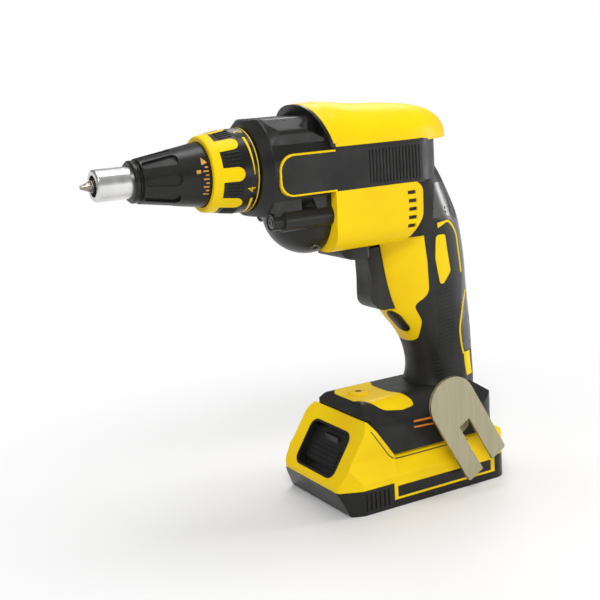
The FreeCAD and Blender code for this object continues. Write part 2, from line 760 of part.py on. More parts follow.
def gear_case_outside():
    """Outer form of the gear case, with the collar's seat and the neck that carries the nose."""
    shoulder = CASE_FRONT + CASE_CHAMFER
    barrel = revolved([(NECK_FRONT, 0), (NECK_FRONT, NECK_RADIUS), (SEAT_FRONT, NECK_RADIUS),
                       (SEAT_FRONT, COLLAR_SEAT_RADIUS), (CASE_FRONT, COLLAR_SEAT_RADIUS),
                       (CASE_FRONT, CASE_FRONT_RADIUS), (shoulder, CASE_RADIUS), (CASE_REAR, CASE_RADIUS),
                       (CASE_REAR, 0)])
    below = block((CASE_FRONT - 1, -CASE_RADIUS, 0), (CASE_LOW_REAR, CASE_RADIUS, AXIS_Z - CASE_LOW))
    side = CASE_SHOULDER_HALF
    top = slab([(-side, AXIS_Z), (-side, CASE_SHOULDER_Z, 4), (-CASE_TOP_HALF, CASE_TOP_Z, 5),
                (CASE_TOP_HALF, CASE_TOP_Z, 5), (side, CASE_SHOULDER_Z, 4), (side, AXIS_Z)],
               "yz", shoulder, COVER_STATIONS[0][0] - SLIP)
    full = CASE_RADIUS + CASE_CHAMFER
    end = CASE_REAR + CASE_CHAMFER
    top = top.common(revolved([(shoulder - 1, 0), (shoulder - 1, CASE_RADIUS - 1),
                               (shoulder + CASE_TAPER, full), (end, full), (end, 0)]))
    dome = Part.makeSphere(DOME_RADIUS, Vec(DOME_CENTRE_X, 0, MOTOR_Z))
    dome = dome.common(block((-120, -60, 100), (CASE_REAR, 60, 260)))
    cheek = slab([(CASE_LOW_REAR, AXIS_Z), (CASE_REAR, AXIS_Z), (CASE_REAR, MOTOR_Z),
                  (DOME_CENTRE_X - 4, MOTOR_Z, 6)], "xz", -DOME_RADIUS, DOME_RADIUS)
    above = block((CASE_FRONT - 1, -CASE_RADIUS, CASE_TOP_Z - 0.3),
                  (CASE_REAR + 1, CASE_RADIUS, AXIS_Z + full))
    body = barrel.cut(below).cut(above).fuse(top)
    body = body.cut(both_sides(slab(ARCH_RECESS, "xz", ARCH_RECESS_Y, full)))
    for piece in [case_arch(), dome, cheek] + case_bosses():
        body = body.fuse(piece)
    return body


def case_arch():
    """Raised arch at the rear of the gear case, in line with the cover."""
    x, half, top = COVER_STATIONS[0]
    rear = x - SLIP
    front = rear - ARCH_LENGTH
    low = BAND_TOP_Z + 1 + SLIP
    arch = Part.Face(cover_section(front, half, top)).extrude(Vec(ARCH_LENGTH, 0, 0))
    return arch.common(slab([(front, top), (front, top + 1), (rear + 1, top + 1), (rear + 1, low),
                             (rear - ARCH_FOOT, low)], "xz", -half - 1, half + 1))


def case_bosses():
    """Stepped screw bosses on the lower corners of the gear case, each with a web up to the case."""
    bosses = []
    for side in (-1, 1):
        y = side * CASE_SCREW_Y
        front = CASE_BOSS_FRONTS[side]
        step = front + CASE_BOSS_STEP
        bosses.append(rod(CASE_BOSS_FRONT_RADIUS, front, step + 1, y, CASE_SCREW_Z))
        bosses.append(rod(CASE_BOSS_RADIUS, step, CASE_REAR, y, CASE_SCREW_Z))
        bosses.append(block((front + 1, y - CASE_WEB_HALF, CASE_SCREW_Z),
                            (CASE_LOW_REAR + 1, y + CASE_WEB_HALF, AXIS_Z - CASE_WEB_TOP)))
    return bosses


def low_screws(clearance=0.0):
    """Screws through the lower bosses into the housing, or their holes."""
    end = CASE_REAR + CASE_SCREW_REACH + clearance
    screws = []
    for side, front in CASE_BOSS_FRONTS.items():
        y = side * CASE_SCREW_Y
        seat = front + CASE_SCREW_HEAD_LENGTH
        head_front = front + 0.4 - (CASE_CHAMFER if clearance else 0)
        head = rod(CASE_SCREW_HEAD + clearance, head_front, seat, y, CASE_SCREW_Z)
        shank = rod(CASE_SCREW_RADIUS + min(clearance, RUN), seat - 1, end, y, CASE_SCREW_Z)
        screws.append(head.fuse(shank))
    return screws


def top_screws(clearance=0.0):
    """Screws from inside the housing forward into the top of the gear case, or their holes."""
    seat = COVER_STATIONS[0][0] + TOP_SCREW_FLANGE
    end = seat + CASE_SCREW_HEAD_LENGTH + clearance
    front = CASE_REAR - CASE_SCREW_REACH - clearance
    screws = []
    for y in (-TOP_SCREW_Y, TOP_SCREW_Y):
        head = rod(CASE_SCREW_HEAD + clearance, seat, end, y, TOP_SCREW_Z)
        shank = rod(CASE_SCREW_RADIUS + min(clearance, RUN), front, seat + 1, y, TOP_SCREW_Z)
        screws.append(head.fuse(shank))
    return screws


def gear_case_screws():
    """Screws that hold the gear case to the housing."""
    return Part.makeCompound(low_screws() + top_screws())


def case_screw_holes():
    """Holes for the gear case screws, in the case and the housing."""
    return Part.makeCompound(low_screws(SLIP) + top_screws(SLIP))


def plate_outline(growth=0.0):
    """Solid of the plate that closes the gear case, with its seat's clearance."""
    start = PLATE_FRONT - growth
    spindle_side = rod(PLATE_RADIUS + growth, start, CASE_REAR)
    motor_side = rod(PLATE_MOTOR_RADIUS + growth, start, CASE_REAR, 0, MOTOR_Z)
    return join([spindle_side, motor_side])


def gear_case():
    """Cast case round the gears and the clutch."""
    body = gear_case_outside().fuse(neck_key())
    gear_tip = GEAR_MODULE * GEAR_TEETH / 2 + TOOTH_ADDENDUM
    pinion_tip = GEAR_MODULE * PINION_TEETH / 2 + TOOTH_ADDENDUM
    hollow = [
        rod(BUSH_RADIUS + RUN, NECK_FRONT - 1, WASHER_FRONT),
        rod(JAW_RADIUS + MOVE, WASHER_FRONT - RUN, GEAR_FRONT),
        rod(gear_tip + 2 * MOVE, GEAR_FRONT - MOVE, PLATE_FRONT),
        rod(pinion_tip + 2 * MOVE, GEAR_FRONT - 2, PLATE_FRONT, 0, MOTOR_Z),
        plate_outline(RUN),
        ring(COLLAR_SEAT_RADIUS + 1, CLIP_INNER - RUN, clip_front() - RUN, clip_front() + CLIP_WIDTH + RUN),
        case_screw_holes(),
        housing_tongue(SLIP),
        both_sides(block((BAND_FRONT - 3, HEAD_HALF, AXIS_Z - 30), (CASE_REAR, HEAD_HALF + 9, AXIS_Z + 30))),
        block((CASE_REAR, -CASE_RADIUS, 0), (0, CASE_RADIUS, BAND_TOP_Z + 1 + SLIP)),
    ]
    for cut in hollow:
        body = body.cut(cut)
    return body


def gear_case_plate():
    """Plate with the spindle's rear bush and the motor's front bearing."""
    body = plate_outline()
    body = body.cut(rod(SPINDLE_TAIL_RADIUS + 3 + RUN, PLATE_FRONT - 1, CASE_REAR + 1))
    return body.cut(rod(BEARING_RADIUS + RUN, PLATE_FRONT - 1, CASE_REAR + 1, 0, MOTOR_Z))


def spindle_front_bush():
    """Bronze bush in the neck."""
    return ring(BUSH_RADIUS, SPINDLE_RADIUS + RUN, BUSH_FRONT, BUSH_FRONT + BUSH_LENGTH)


def spindle_rear_bush():
    """Bronze bush in the plate."""
    return ring(SPINDLE_TAIL_RADIUS + 3, SPINDLE_TAIL_RADIUS + RUN, PLATE_FRONT, CASE_REAR)


def spindle():
    """Output spindle with its hexagonal socket and the front half of the clutch."""
    front = rod(SPINDLE_RADIUS, SPINDLE_FRONT, JAW_FRONT + 1)
    jaw = rod(JAW_RADIUS, JAW_FRONT, JAW_REAR)
    tail = rod(SPINDLE_TAIL_RADIUS, JAW_REAR - 1, SPINDLE_END - CLUTCH_TRAVEL)
    dogs = dog_ring(JAW_REAR - 0.5, JAW_DOG_TIP, 180.0 / DOG_COUNT)
    body = join([front, jaw, tail] + dogs)
    return body.cut(hexagon(HEX_FLATS + 2 * RUN, SPINDLE_FRONT - 1, SHANK_REAR + RUN))


def thrust_washer():
    """Washer between the clutch jaw and the gear case."""
    return ring(JAW_RADIUS - 1, SPINDLE_RADIUS + RUN, WASHER_FRONT, WASHER_FRONT + THRUST_WASHER_THICKNESS)


def drive_gear():
    """Gear that runs free on the spindle, with the rear half of the clutch."""
    body = toothed_face(GEAR_TEETH, GEAR_FRONT, AXIS_Z, -math.pi / 2).extrude(Vec(GEAR_WIDTH, 0, 0))
    hub = rod(DOG_INNER, GEAR_FRONT + GEAR_WIDTH - 1, PLATE_FRONT - RUN)
    dogs = dog_ring(GEAR_DOG_TIP, GEAR_FRONT + 0.5, 0.0)
    body = join([body, hub] + dogs)
    return body.cut(rod(SPINDLE_TAIL_RADIUS + RUN, GEAR_FRONT - 1, PLATE_FRONT))


def clutch_spring():
    """Sleeve in the place of the spring that keeps the clutch open until the bit is pressed."""
    return ring(CLUTCH_SPRING_RADIUS, SPINDLE_TAIL_RADIUS + MOVE, JAW_REAR, GEAR_FRONT)


# Motor


def pinion():
    """Motor pinion on the front of the shaft."""
    body = toothed_face(PINION_TEETH, GEAR_FRONT, MOTOR_Z, math.pi / 2 + math.pi / PINION_TEETH)
    solid = body.extrude(Vec(GEAR_WIDTH + 1, 0, 0))
    return solid.cut(rod(SHAFT_RADIUS, GEAR_FRONT - 1, CASE_REAR, 0, MOTOR_Z))


def rotor_shaft():
    """Motor shaft."""
    return rod(SHAFT_RADIUS, SHAFT_FRONT, SHAFT_REAR, 0, MOTOR_Z)


def rotor_core():
    """Magnet core of the rotor."""
    return ring(ROTOR_RADIUS, SHAFT_RADIUS, STATOR_FRONT, STATOR_FRONT + STATOR_LENGTH, 0, MOTOR_Z)


def stator_tooth():
    """One pole of the stator, pointing up from the motor axis."""
    half = STATOR_TOOTH_WIDTH / 2
    return block((STATOR_FRONT, -half, MOTOR_Z + STATOR_BORE - 1),
                 (STATOR_FRONT + STATOR_LENGTH, half, MOTOR_Z + STATOR_RADIUS - 1))


def stator_core():
    """Laminated stator with its poles."""
    end = STATOR_FRONT + STATOR_LENGTH
    yoke = ring(STATOR_RADIUS, STATOR_RADIUS - STATOR_YOKE, STATOR_FRONT, end, 0, MOTOR_Z)
    body = join([yoke] + around(stator_tooth(), STATOR_TEETH, 0, MOTOR_Z))
    return body.cut(rod(STATOR_BORE, STATOR_FRONT, end, 0, MOTOR_Z))


def stator_coils():
    """One coil round each pole."""
    half = STATOR_TOOTH_WIDTH / 2 + RUN
    low = MOTOR_Z + STATOR_BORE + 1
    width = half + COIL_WIDTH
    high = MOTOR_Z + math.sqrt((STATOR_RADIUS - STATOR_YOKE) ** 2 - width ** 2) - SLIP
    start = STATOR_FRONT - COIL_OVERHANG
    end = STATOR_FRONT + STATOR_LENGTH + COIL_OVERHANG
    corner = 2.5
    outer = slab([(start, -width, corner), (end, -width, corner), (end, width, corner),
                  (start, width, corner)], "xy", low, high)
    inner = block((STATOR_FRONT - RUN, -half, low), (STATOR_FRONT + STATOR_LENGTH + RUN, half, high))
    return Part.makeCompound(around(outer.cut(inner), STATOR_TEETH, 0, MOTOR_Z))


def sensor_board():
    """Ring board behind the stator."""
    start = STATOR_FRONT + STATOR_LENGTH + COIL_OVERHANG + SLIP
    return ring(STATOR_RADIUS, STATOR_BORE, start, start + SENSOR_BOARD_THICKNESS, 0, MOTOR_Z)


def motor_fan():
    """Radial fan on the rear of the shaft."""
    end = FAN_FRONT + FAN_WIDTH
    plate = rod(FAN_RADIUS, FAN_FRONT, FAN_FRONT + 1.4, 0, MOTOR_Z)
    hub = rod(FAN_HUB_RADIUS, FAN_FRONT, end, 0, MOTOR_Z)
    half = FAN_BLADE_THICKNESS / 2
    blade = block((FAN_FRONT + 1, -half, MOTOR_Z + FAN_HUB_RADIUS - 1),
                  (end, half, MOTOR_Z + FAN_RADIUS - 0.5))
    body = join([plate, hub] + around(blade, FAN_BLADES, 0, MOTOR_Z))
    return body.cut(rod(SHAFT_RADIUS, FAN_FRONT - 1, end + 1, 0, MOTOR_Z))


def motor_bearing(start):
    """Ball bearing as a plain ring on the motor shaft."""
    return ring(BEARING_RADIUS, SHAFT_RADIUS + RUN, start, start + BEARING_WIDTH, 0, MOTOR_Z)


# Outer forms of the housing


def super_ellipse(angle, power):
    """Cosine and sine of a rounded square's outline."""
    c = math.cos(angle)
    s = math.sin(angle)
    return math.copysign(abs(c) ** (2 / power), c), math.copysign(abs(s) ** (2 / power), s)


def handle_form(inset=0.0):
    """Handle and saddle, drawn through level sections."""
    count = 16
    wires = []
    for z, front, back, half in HANDLE_STATIONS:
        middle = (front + back) / 2
        depth = (back - front) / 2 - inset
        points = []
        for i in range(count):
            c, s = super_ellipse(2 * math.pi * i / count, HANDLE_POWER)
            points.append(Vec(middle + depth * c, (half - inset) * s, z))
        curve = Part.BSplineCurve()
        curve.interpolate(points, PeriodicFlag=True)
        wires.append(Part.Wire(curve.toShape()))
    return Part.makeLoft(wires, True, False)


def cover_section(x, half, top):
    """Arched outline of the cover in an upright plane across the tool."""
    steps = 8
    points = []
    for i in range(steps + 1):
        c, s = super_ellipse(math.pi * i / steps, COVER_POWER)
        points.append(Vec(x, half * c, BAND_TOP_Z + (top - BAND_TOP_Z) * s))
    curve = Part.BSplineCurve()
    curve.interpolate(points)
    return Part.Wire([curve.toShape(), Part.LineSegment(points[-1], points[0]).toShape()])


def cover_form():
    """Domed cover on the head, drawn through upright sections, with its overhanging tail."""
    return Part.makeLoft([cover_section(*station) for station in COVER_STATIONS], True, False)


def band_form(inset=0.0):
    """Upright sides of the head behind the gear case, between the panel and the cover."""
    half = HEAD_HALF - inset
    rear = HEAD_REAR - inset
    return slab([(CASE_REAR, -half), (rear, -half, HEAD_REAR_ROUND), (rear, half, HEAD_REAR_ROUND),
                 (CASE_REAR, half)], "xy", BAND_LOW_Z - 1, BAND_TOP_Z + 1)


def panel_form():
    """Lower part of the head, round the motor."""
    side = slab([(CASE_REAR, BAND_LOW_Z), (PANEL_REAR, BAND_LOW_Z, 6), (PANEL_REAR, MOTOR_Z - 8, 9),
                 (PANEL_REAR - 9, PANEL_LOW_Z, 9), (CASE_REAR, PANEL_LOW_Z)], "xz", -HEAD_HALF, HEAD_HALF)
    across = slab([(-HEAD_HALF, BAND_LOW_Z), (HEAD_HALF, BAND_LOW_Z), (HEAD_HALF, BAND_LOW_Z - 8, 30),
                   (PANEL_LOW_HALF, PANEL_LOW_Z, PANEL_ROUND), (-PANEL_LOW_HALF, PANEL_LOW_Z, PANEL_ROUND),
                   (-HEAD_HALF, BAND_LOW_Z - 8, 30)], "yz", CASE_REAR, PANEL_REAR + 1)
    return side.common(across)


def tongue_region(growth=0.0):
    """Side view of the tongue that reaches forward over the gear case."""
    front = BAND_FRONT - growth
    return [(front, BAND_LOW_Z - growth, 8), (CASE_REAR + 1, BAND_LOW_Z - growth),
            (CASE_REAR + 1, BAND_TOP_Z + growth), (front, BAND_TOP_Z + growth, 9)]


def housing_tongue(growth=0.0):
    """Both tongues, or the room for them in the gear case."""
    outer = HEAD_HALF + (5 if growth else 0)
    return both_sides(slab(tongue_region(growth), "xz", TONGUE_INNER - growth, outer))


def tongue_rubber():
    """Rubber face on both tongues, inside their yellow edge."""
    edge = 1.0
    face = [(BAND_FRONT + edge, BAND_LOW_Z + edge, 7), (CASE_REAR + 2, BAND_LOW_Z + edge),
            (CASE_REAR + 2, BAND_TOP_Z - edge), (BAND_FRONT + edge, BAND_TOP_Z - edge, 8)]
    return both_sides(slab(face, "xz", HEAD_HALF - RUBBER, HEAD_HALF))


def foot_form(inset=0.0):
    """Foot that the pack slides into."""
    front = FOOT_FRONT + inset
    rear = FOOT_REAR - inset
    half = FOOT_HALF - inset
    top = FOOT_TOP_Z - inset
    side_top = FOOT_SIDE_TOP_Z - inset
    front_half = FOOT_FRONT_HALF - inset
    low = FOOT_LOW_Z
    side = slab([(front, FOOT_FRONT_LOW_Z + inset / 2), (front + 3.5, top, 3), (rear - 15, top, 10),
                 (rear, FOOT_REAR_TOP_Z - inset, 12), (rear, low, 3), (FOOT_SKIRT_FRONT + inset, low, 3)],
                "xz", -half, half)
    plan = slab(mirrored_outline([(front, front_half, 9), (front + 12, half, 16), (rear, half, 18)]),
                "xy", low, top + 1)
    crown = FOOT_CROWN_HALF
    across = slab([(-half, low), (-half, side_top, 8), (-crown, top, 12), (crown, top, 12),
                   (half, side_top, 8), (half, low)], "yz", front, rear)
    return side.common(plan).common(across)


def light_boss():
    """Low dome on the foot round the work light."""
    top = FOOT_TOP_Z + LIGHT_BOSS_HEIGHT
    height = 2 * LIGHT_BOSS_HEIGHT
    body = Part.makeCylinder(LIGHT_BOSS_RADIUS, height, Vec(LIGHT_X, 0, top - height))
    rim = [e for e in body.Edges if e.BoundBox.ZMin > top - RUN]
    return body.makeFillet(LIGHT_BOSS_HEIGHT - RUN, rim)


def work_light(clearance=0.0):
    """Lens of the work light, just below the top of its boss, or its hole."""
    low = FOOT_TOP_Z + LIGHT_BOSS_HEIGHT - SLIP - LIGHT_DEPTH - clearance
    return Part.makeCylinder(LIGHT_RADIUS + clearance, LIGHT_DEPTH + 2 * clearance, Vec(LIGHT_X, 0, low))


def trigger_hollow():
    """Opening for the trigger in the front of the handle."""
    half = TRIGGER_HALF + MOVE
    return block((TRIGGER_FRONT - 20, -half, TRIGGER_LOW_Z - MOVE), (SWITCH_FRONT, half, PANEL_LOW_Z - 0.6))


def housing_core():
    """Yellow parts of both halves before they are hollowed and split."""
    windows = [
        handle_form(-PROUD).common(slab(TRIGGER_WINDOW, "xz", -40, 40)),
        handle_form(-PROUD).common(both_sides(slab(SLIM_WINDOW, "xz", 8, 40))),
        foot_form(-PROUD).common(slab(mirrored_outline(FOOT_WINDOW), "xy", FOOT_FRONT_LOW_Z, FOOT_TOP_Z + 5)),
    ]
    forms = [cover_form(), panel_form(), band_form(RUBBER), handle_form(RUBBER), foot_form(RUBBER)]
    return join(forms + windows + [housing_tongue().cut(tongue_rubber()), light_boss()])


def pack_way():
    """Space in the foot that the pack slides through, less the rails."""
    half = NECK_HALF + MOVE
    front = FOOT_FRONT - 9
    room = block((front, -half, 0), (PACK_NECK_REAR + MOVE, half, PACK_NECK_TOP + MOVE))
    tooth = block((front, -TOOTH_HALF - MOVE, 0), (TOOTH_REAR + MOVE, TOOTH_HALF + MOVE, TOOTH_TOP_Z + MOVE))
    rail = block((RAIL_FRONT, NECK_HALF - RAIL_DEPTH + MOVE, RAIL_LOW_Z + MOVE),
                 (PACK_NECK_REAR + 1, NECK_HALF + 1, RAIL_LOW_Z + RAIL_HEIGHT - MOVE))
    return join([room, tooth]).cut(both_sides(rail))


def housing_hollows():
    """Everything that is cut from the housing halves."""
    stator_end = STATOR_FRONT + STATOR_LENGTH + COIL_OVERHANG + SLIP + SENSOR_BOARD_THICKNESS
    return [
        rod(STATOR_RADIUS + SLIP, CASE_REAR - 1, stator_end + SLIP, 0, MOTOR_Z),
        rod(FAN_RADIUS + 2 * MOVE, stator_end, REAR_BEARING_X - 0.8, 0, MOTOR_Z),
        rod(BEARING_RADIUS + RUN, FAN_FRONT, REAR_BEARING_X + BEARING_WIDTH + RUN, 0, MOTOR_Z),
        rod(SHAFT_RADIUS + MOVE, FAN_FRONT, SHAFT_REAR + MOVE, 0, MOTOR_Z),
        rod(SPINDLE_TAIL_RADIUS + MOVE, CASE_REAR - 1, SPINDLE_END + CLUTCH_TRAVEL + MOVE),
        trigger_hollow(),
        switch_module_form(SLIP),
        lever_slot(),
        lock_prism(lock_room_end(), SLIP),
        control_form(SLIP),
        terminal_block_form(SLIP),
        pack_way(),
        vents(),
        case_screw_holes(),
        housing_screw_holes(),
        hook_screw_holes(),
        work_light(SLIP),
    ]


def vents():
    """Short slots at the rear of both panels, over the fan."""
    slots = []
    for i in range(VENT_COUNT):
        z = VENT_TOP_Z - i * VENT_PITCH
        bow = 1.2 * math.sin(math.pi * (i + 0.5) / VENT_COUNT)
        slots.append(block((VENT_X + bow, FAN_RADIUS - 6, z - VENT_HEIGHT / 2),
                           (VENT_X + bow + VENT_LENGTH, HEAD_HALF + 5, z + VENT_HEIGHT / 2)))
    return both_sides(Part.makeCompound(slots))


def housing_screw_holes():
    """Deep holes for the housing screws, open on the right side."""
    holes = []
    for x, z in HOUSING_SCREWS:
        holes.append(peg(SCREW_RADIUS + RUN, SCREW_END_Y - SLIP, SCREW_HEAD_Y + 1, x, z))
        holes.append(peg(SCREW_HEAD + SLIP, SCREW_HEAD_Y, HEAD_HALF + 20, x, z))
    return Part.makeCompound(holes)


def housing_screws():
    """Screws that join the two halves."""
    screws = []
    for x, z in HOUSING_SCREWS:
        head = peg(SCREW_HEAD, SCREW_HEAD_Y, SCREW_HEAD_Y + SCREW_HEAD_LENGTH, x, z)
        screws.append(head.fuse(peg(SCREW_RADIUS, SCREW_END_Y, SCREW_HEAD_Y + 0.5, x, z)))
    return Part.makeCompound(screws)


def half_space(side):
    """Everything on the left (-1) or the right (1) of the middle plane."""
    low = -BEYOND if side < 0 else 0
    return block((-BEYOND, low, -BEYOND), (BEYOND, low + BEYOND, BEYOND))


def rib_grooves():
    """Upright grooves in the band on both sides of the head."""
    grooves = []
    for i in range(RIB_COUNT):
        x = RIB_FIRST_X + i * RIB_PITCH
        grooves.append(block((x, HEAD_HALF - RIB_GROOVE_DEPTH, BAND_LOW_Z + 2),
                             (x + RIB_GROOVE_WIDTH, HEAD_HALF + 2, BAND_TOP_Z - 2)))
    return both_sides(Part.makeCompound(grooves))


def make_housing():
    """Both housing halves and both rubber grips."""
    core = housing_core()
    behind = band_form().cut(block((CASE_REAR - 1, -60, BAND_LOW_Z - 5), (100, 60, BAND_LOW_Z)))
    rubber = join([behind, handle_form(), foot_form(), tongue_rubber()]).cut(core).cut(rib_grooves())
    for hollow in housing_hollows():
        core = core.cut(hollow)
        rubber = rubber.cut(hollow)
    solids = {}
    for name, side in (("left", -1), ("right", 1)):
        solids["housing_" + name] = core.common(half_space(side))
        solids["grip_" + name] = rubber.common(half_space(side))
    return solids


# Controls


def trigger():
    """Trigger with its stem into the switch."""
    height = TRIGGER_TOP_Z - TRIGGER_LOW_Z
    waist = TRIGGER_LOW_Z + 0.5 * height
    lip = TRIGGER_LOW_Z + 0.14 * height
    side = slab([(TRIGGER_FRONT, TRIGGER_TOP_Z, 4), (TRIGGER_FRONT + TRIGGER_HOLLOW, waist, 30),
                 (TRIGGER_FRONT + 0.8, lip, 9), (TRIGGER_FRONT + 7, TRIGGER_LOW_Z, 5),
                 (TRIGGER_REAR, TRIGGER_LOW_Z), (TRIGGER_REAR, TRIGGER_TOP_Z)],
                "xz", -TRIGGER_HALF, TRIGGER_HALF)
    plan = slab(mirrored_outline([(TRIGGER_FRONT, TRIGGER_HALF, 6), (TRIGGER_REAR, TRIGGER_HALF)]),
                "xy", TRIGGER_LOW_Z - 1, TRIGGER_TOP_Z + 1)
    stem = rod(TRIGGER_STEM_RADIUS, TRIGGER_REAR - 1, TRIGGER_REAR + TRIGGER_STEM_LENGTH, 0, TRIGGER_STEM_Z)
    return side.common(plan).fuse(stem)


def trigger_spring():
    """Sleeve in the place of the return spring round the trigger's stem."""
    return ring(TRIGGER_SPRING_RADIUS, TRIGGER_STEM_RADIUS + MOVE, TRIGGER_REAR, SWITCH_FRONT + SLIP, 0,
                TRIGGER_STEM_Z)


def switch_module_form(growth=0.0):
    """Outer form of the switch module, or its pocket."""
    half = SWITCH_HALF + growth
    return block((SWITCH_FRONT + SLIP - growth, -half, SWITCH_LOW_Z - growth),
                 (SWITCH_FRONT + SWITCH_LENGTH + growth, half, SWITCH_TOP_Z + growth))


def switch_module():
    """Switch behind the trigger, with the bore that takes the trigger's stem."""
    depth = TRIGGER_REAR + TRIGGER_STEM_LENGTH + TRIGGER_TRAVEL + 1
    bore = rod(TRIGGER_STEM_RADIUS + RUN, SWITCH_FRONT - 1, depth, 0, TRIGGER_STEM_Z)
    body = switch_module_form()
    height = SWITCH_TOP_Z - SWITCH_LOW_Z
    upright = [e for e in body.Edges if abs(e.BoundBox.ZLength - height) < 0.1]
    return body.makeChamfer(1.2, upright).cut(bore)


def lever_slot():
    """Slot under the head that guides the lever."""
    half = LEVER_RIB_LENGTH / 2 + SLIP
    width = LEVER_RIB_HALF + LEVER_TRAVEL + SLIP
    return block((LEVER_X - half, -width, PANEL_LOW_Z - 5),
                 (LEVER_X + half, width, PANEL_LOW_Z + LEVER_RIB_HEIGHT + SLIP))


def direction_lever():
    """Cross-sliding forward and reverse lever under the head."""
    half = LEVER_LENGTH / 2
    top = PANEL_LOW_Z - SLIP
    front = LEVER_X - half
    rear = LEVER_X + half
    bar = slab([(front, top), (front, LEVER_LOW_Z + 1, 4), (front + 6, LEVER_LOW_Z, 4),
                (rear, LEVER_LOW_Z, 2), (rear, top)], "xz", -LEVER_HALF, LEVER_HALF)
    plan = slab(mirrored_outline([(front, LEVER_HALF, 5), (rear, LEVER_HALF, 3)]),
                "xy", LEVER_LOW_Z - 1, top + 1)
    rib = block((LEVER_X - LEVER_RIB_LENGTH / 2, -LEVER_RIB_HALF, top - 0.5),
                (LEVER_X + LEVER_RIB_LENGTH / 2, LEVER_RIB_HALF, PANEL_LOW_Z + LEVER_RIB_HEIGHT))
    return bar.common(plan).fuse(rib)


def lock_prism(end, growth=0.0):
    """Upright rounded bar along X, from in front of the handle to end."""
    half = LOCK_WIDTH / 2 + growth
    height = LOCK_HEIGHT / 2 + growth
    rounding = half - RUN
    return slab([(LOCK_Y - half, LOCK_Z - height, rounding), (LOCK_Y + half, LOCK_Z - height, rounding),
                 (LOCK_Y + half, LOCK_Z + height, rounding), (LOCK_Y - half, LOCK_Z + height, rounding)],
                "yz", TRIGGER_FRONT, end)


def lock_on_button():
    """Button left of the middle of the handle's front, under the trigger."""
    return lock_prism(LOCK_REAR).common(handle_form(-LOCK_PROUD))


def lock_room_end():
    """Inner end of the lock-on button's room, where its spring rests."""
    return LOCK_REAR + LOCK_TRAVEL + 1


def lock_spring():
    """Sleeve in the place of the spring behind the lock-on button."""
    return ring(LOCK_SPRING_RADIUS, LOCK_SPRING_RADIUS - 1, LOCK_REAR, lock_room_end(), LOCK_Y, LOCK_Z)


def control_form(growth=0.0):
    """Outer form of the control module in the grip, or its pocket."""
    half = CONTROL_LENGTH / 2 + growth
    width = CONTROL_HALF + growth
    return block((CONTROL_X - half, -width, CONTROL_LOW_Z - growth),
                 (CONTROL_X + half, width, CONTROL_TOP_Z + growth))


def control_module():
    """Potted motor controller with cooling fins."""
    body = control_form()
    fins = 5
    pitch = CONTROL_LENGTH / fins
    for i in range(fins - 1):
        x = CONTROL_X - CONTROL_LENGTH / 2 + pitch * (i + 1)
        gap = block((x - 0.8, -CONTROL_HALF - 1, CONTROL_LOW_Z + 8),
                    (x + 0.8, 3 - CONTROL_HALF, CONTROL_TOP_Z + 1))
        body = body.cut(gap)
    return body


def terminal_block_form(growth=0.0):
    """Outer form of the terminal block in the foot, or its pocket."""
    half = TERMINAL_BLOCK_HALF + growth
    return block((TERMINAL_BLOCK_FRONT - growth, -half, PACK_NECK_TOP - growth),
                 (TERMINAL_BLOCK_REAR + growth, half, TERMINAL_BLOCK_TOP + growth))


def terminal_block():
    """Block with the blades that enter the pack."""
    body = terminal_block_form().cut(block((0, -BEYOND, 0), (BEYOND, BEYOND, PACK_NECK_TOP + MOVE + SLIP)))
    blades = []
    for y in TERMINAL_YS:
        blades.append(block((BLADE_FRONT, y - BLADE_THICKNESS / 2, BLADE_LOW_Z),
                            (BLADE_FRONT + BLADE_LENGTH, y + BLADE_THICKNESS / 2, PACK_NECK_TOP + 3)))
    return join([body] + blades)


# Battery pack


def pack_plan(inset=0.0):
    """Top view of the pack."""
    half = PACK_HALF - inset
    return mirrored_outline([(PACK_FRONT + inset, PACK_FRONT_HALF - inset, 4), (PACK_CHAMFER_X, half, 6),
                             (PACK_REAR - inset, half, 9)])


def slope_point(share, depth=0.0):
    """Point on the pack's sloping front, from its nose (0) to its top (1), at a depth below it."""
    run = FOOT_FRONT - MOVE - PACK_FRONT
    rise = FOOT_FRONT_LOW_Z - MOVE - PACK_NOSE_Z
    length = math.hypot(run, rise)
    x = PACK_FRONT + share * run + depth * rise / length
    z = PACK_NOSE_Z + share * rise - depth * run / length
    return x, z


def skirt(growth=0.0):
    """Yellow skirts that lap over the lower case on both sides, or their room."""
    inner = PACK_HALF - SKIRT_THICKNESS - growth
    return both_sides(block((SKIRT_FRONT - growth, inner, SKIRT_LOW_Z - growth),
                            (SKIRT_REAR + growth, PACK_HALF, PACK_SPLIT_Z + 1)))


def cell_room():
    """Space for the cells and their board in both halves of the pack."""
    reach = CELL_PITCH * (CELL_COUNT - 1) / 2 + CELL_RADIUS + CELL_MARGIN
    half = CELL_LENGTH / 2 + STRAP_THICKNESS + SLIP
    top = CELL_Z + CELL_RADIUS + 1.5 + SLIP
    front = CELL_ROW_X - reach
    rear = CELL_ROW_X + reach
    cells = block((front, -half, CELL_Z - CELL_RADIUS - SLIP), (rear, half, top))
    width = NECK_HALF - RAIL_DEPTH - 3 + SLIP
    board = block((front, -width, top - 1), (rear, width, BOARD_Z + BOARD_THICKNESS + SLIP))
    return cells.fuse(board)


def pack_screw_holes():
    """Holes for the pack's screws."""
    holes = []
    for y in (-PACK_SCREW_Y, PACK_SCREW_Y):
        holes.append(Part.makeCylinder(PACK_SCREW_RADIUS + RUN, 24, Vec(PACK_SCREW_X, y, 1)))
        holes.append(Part.makeCylinder(PACK_SCREW_HEAD + SLIP, 5, Vec(PACK_SCREW_X, y, -1)))
    return Part.makeCompound(holes)


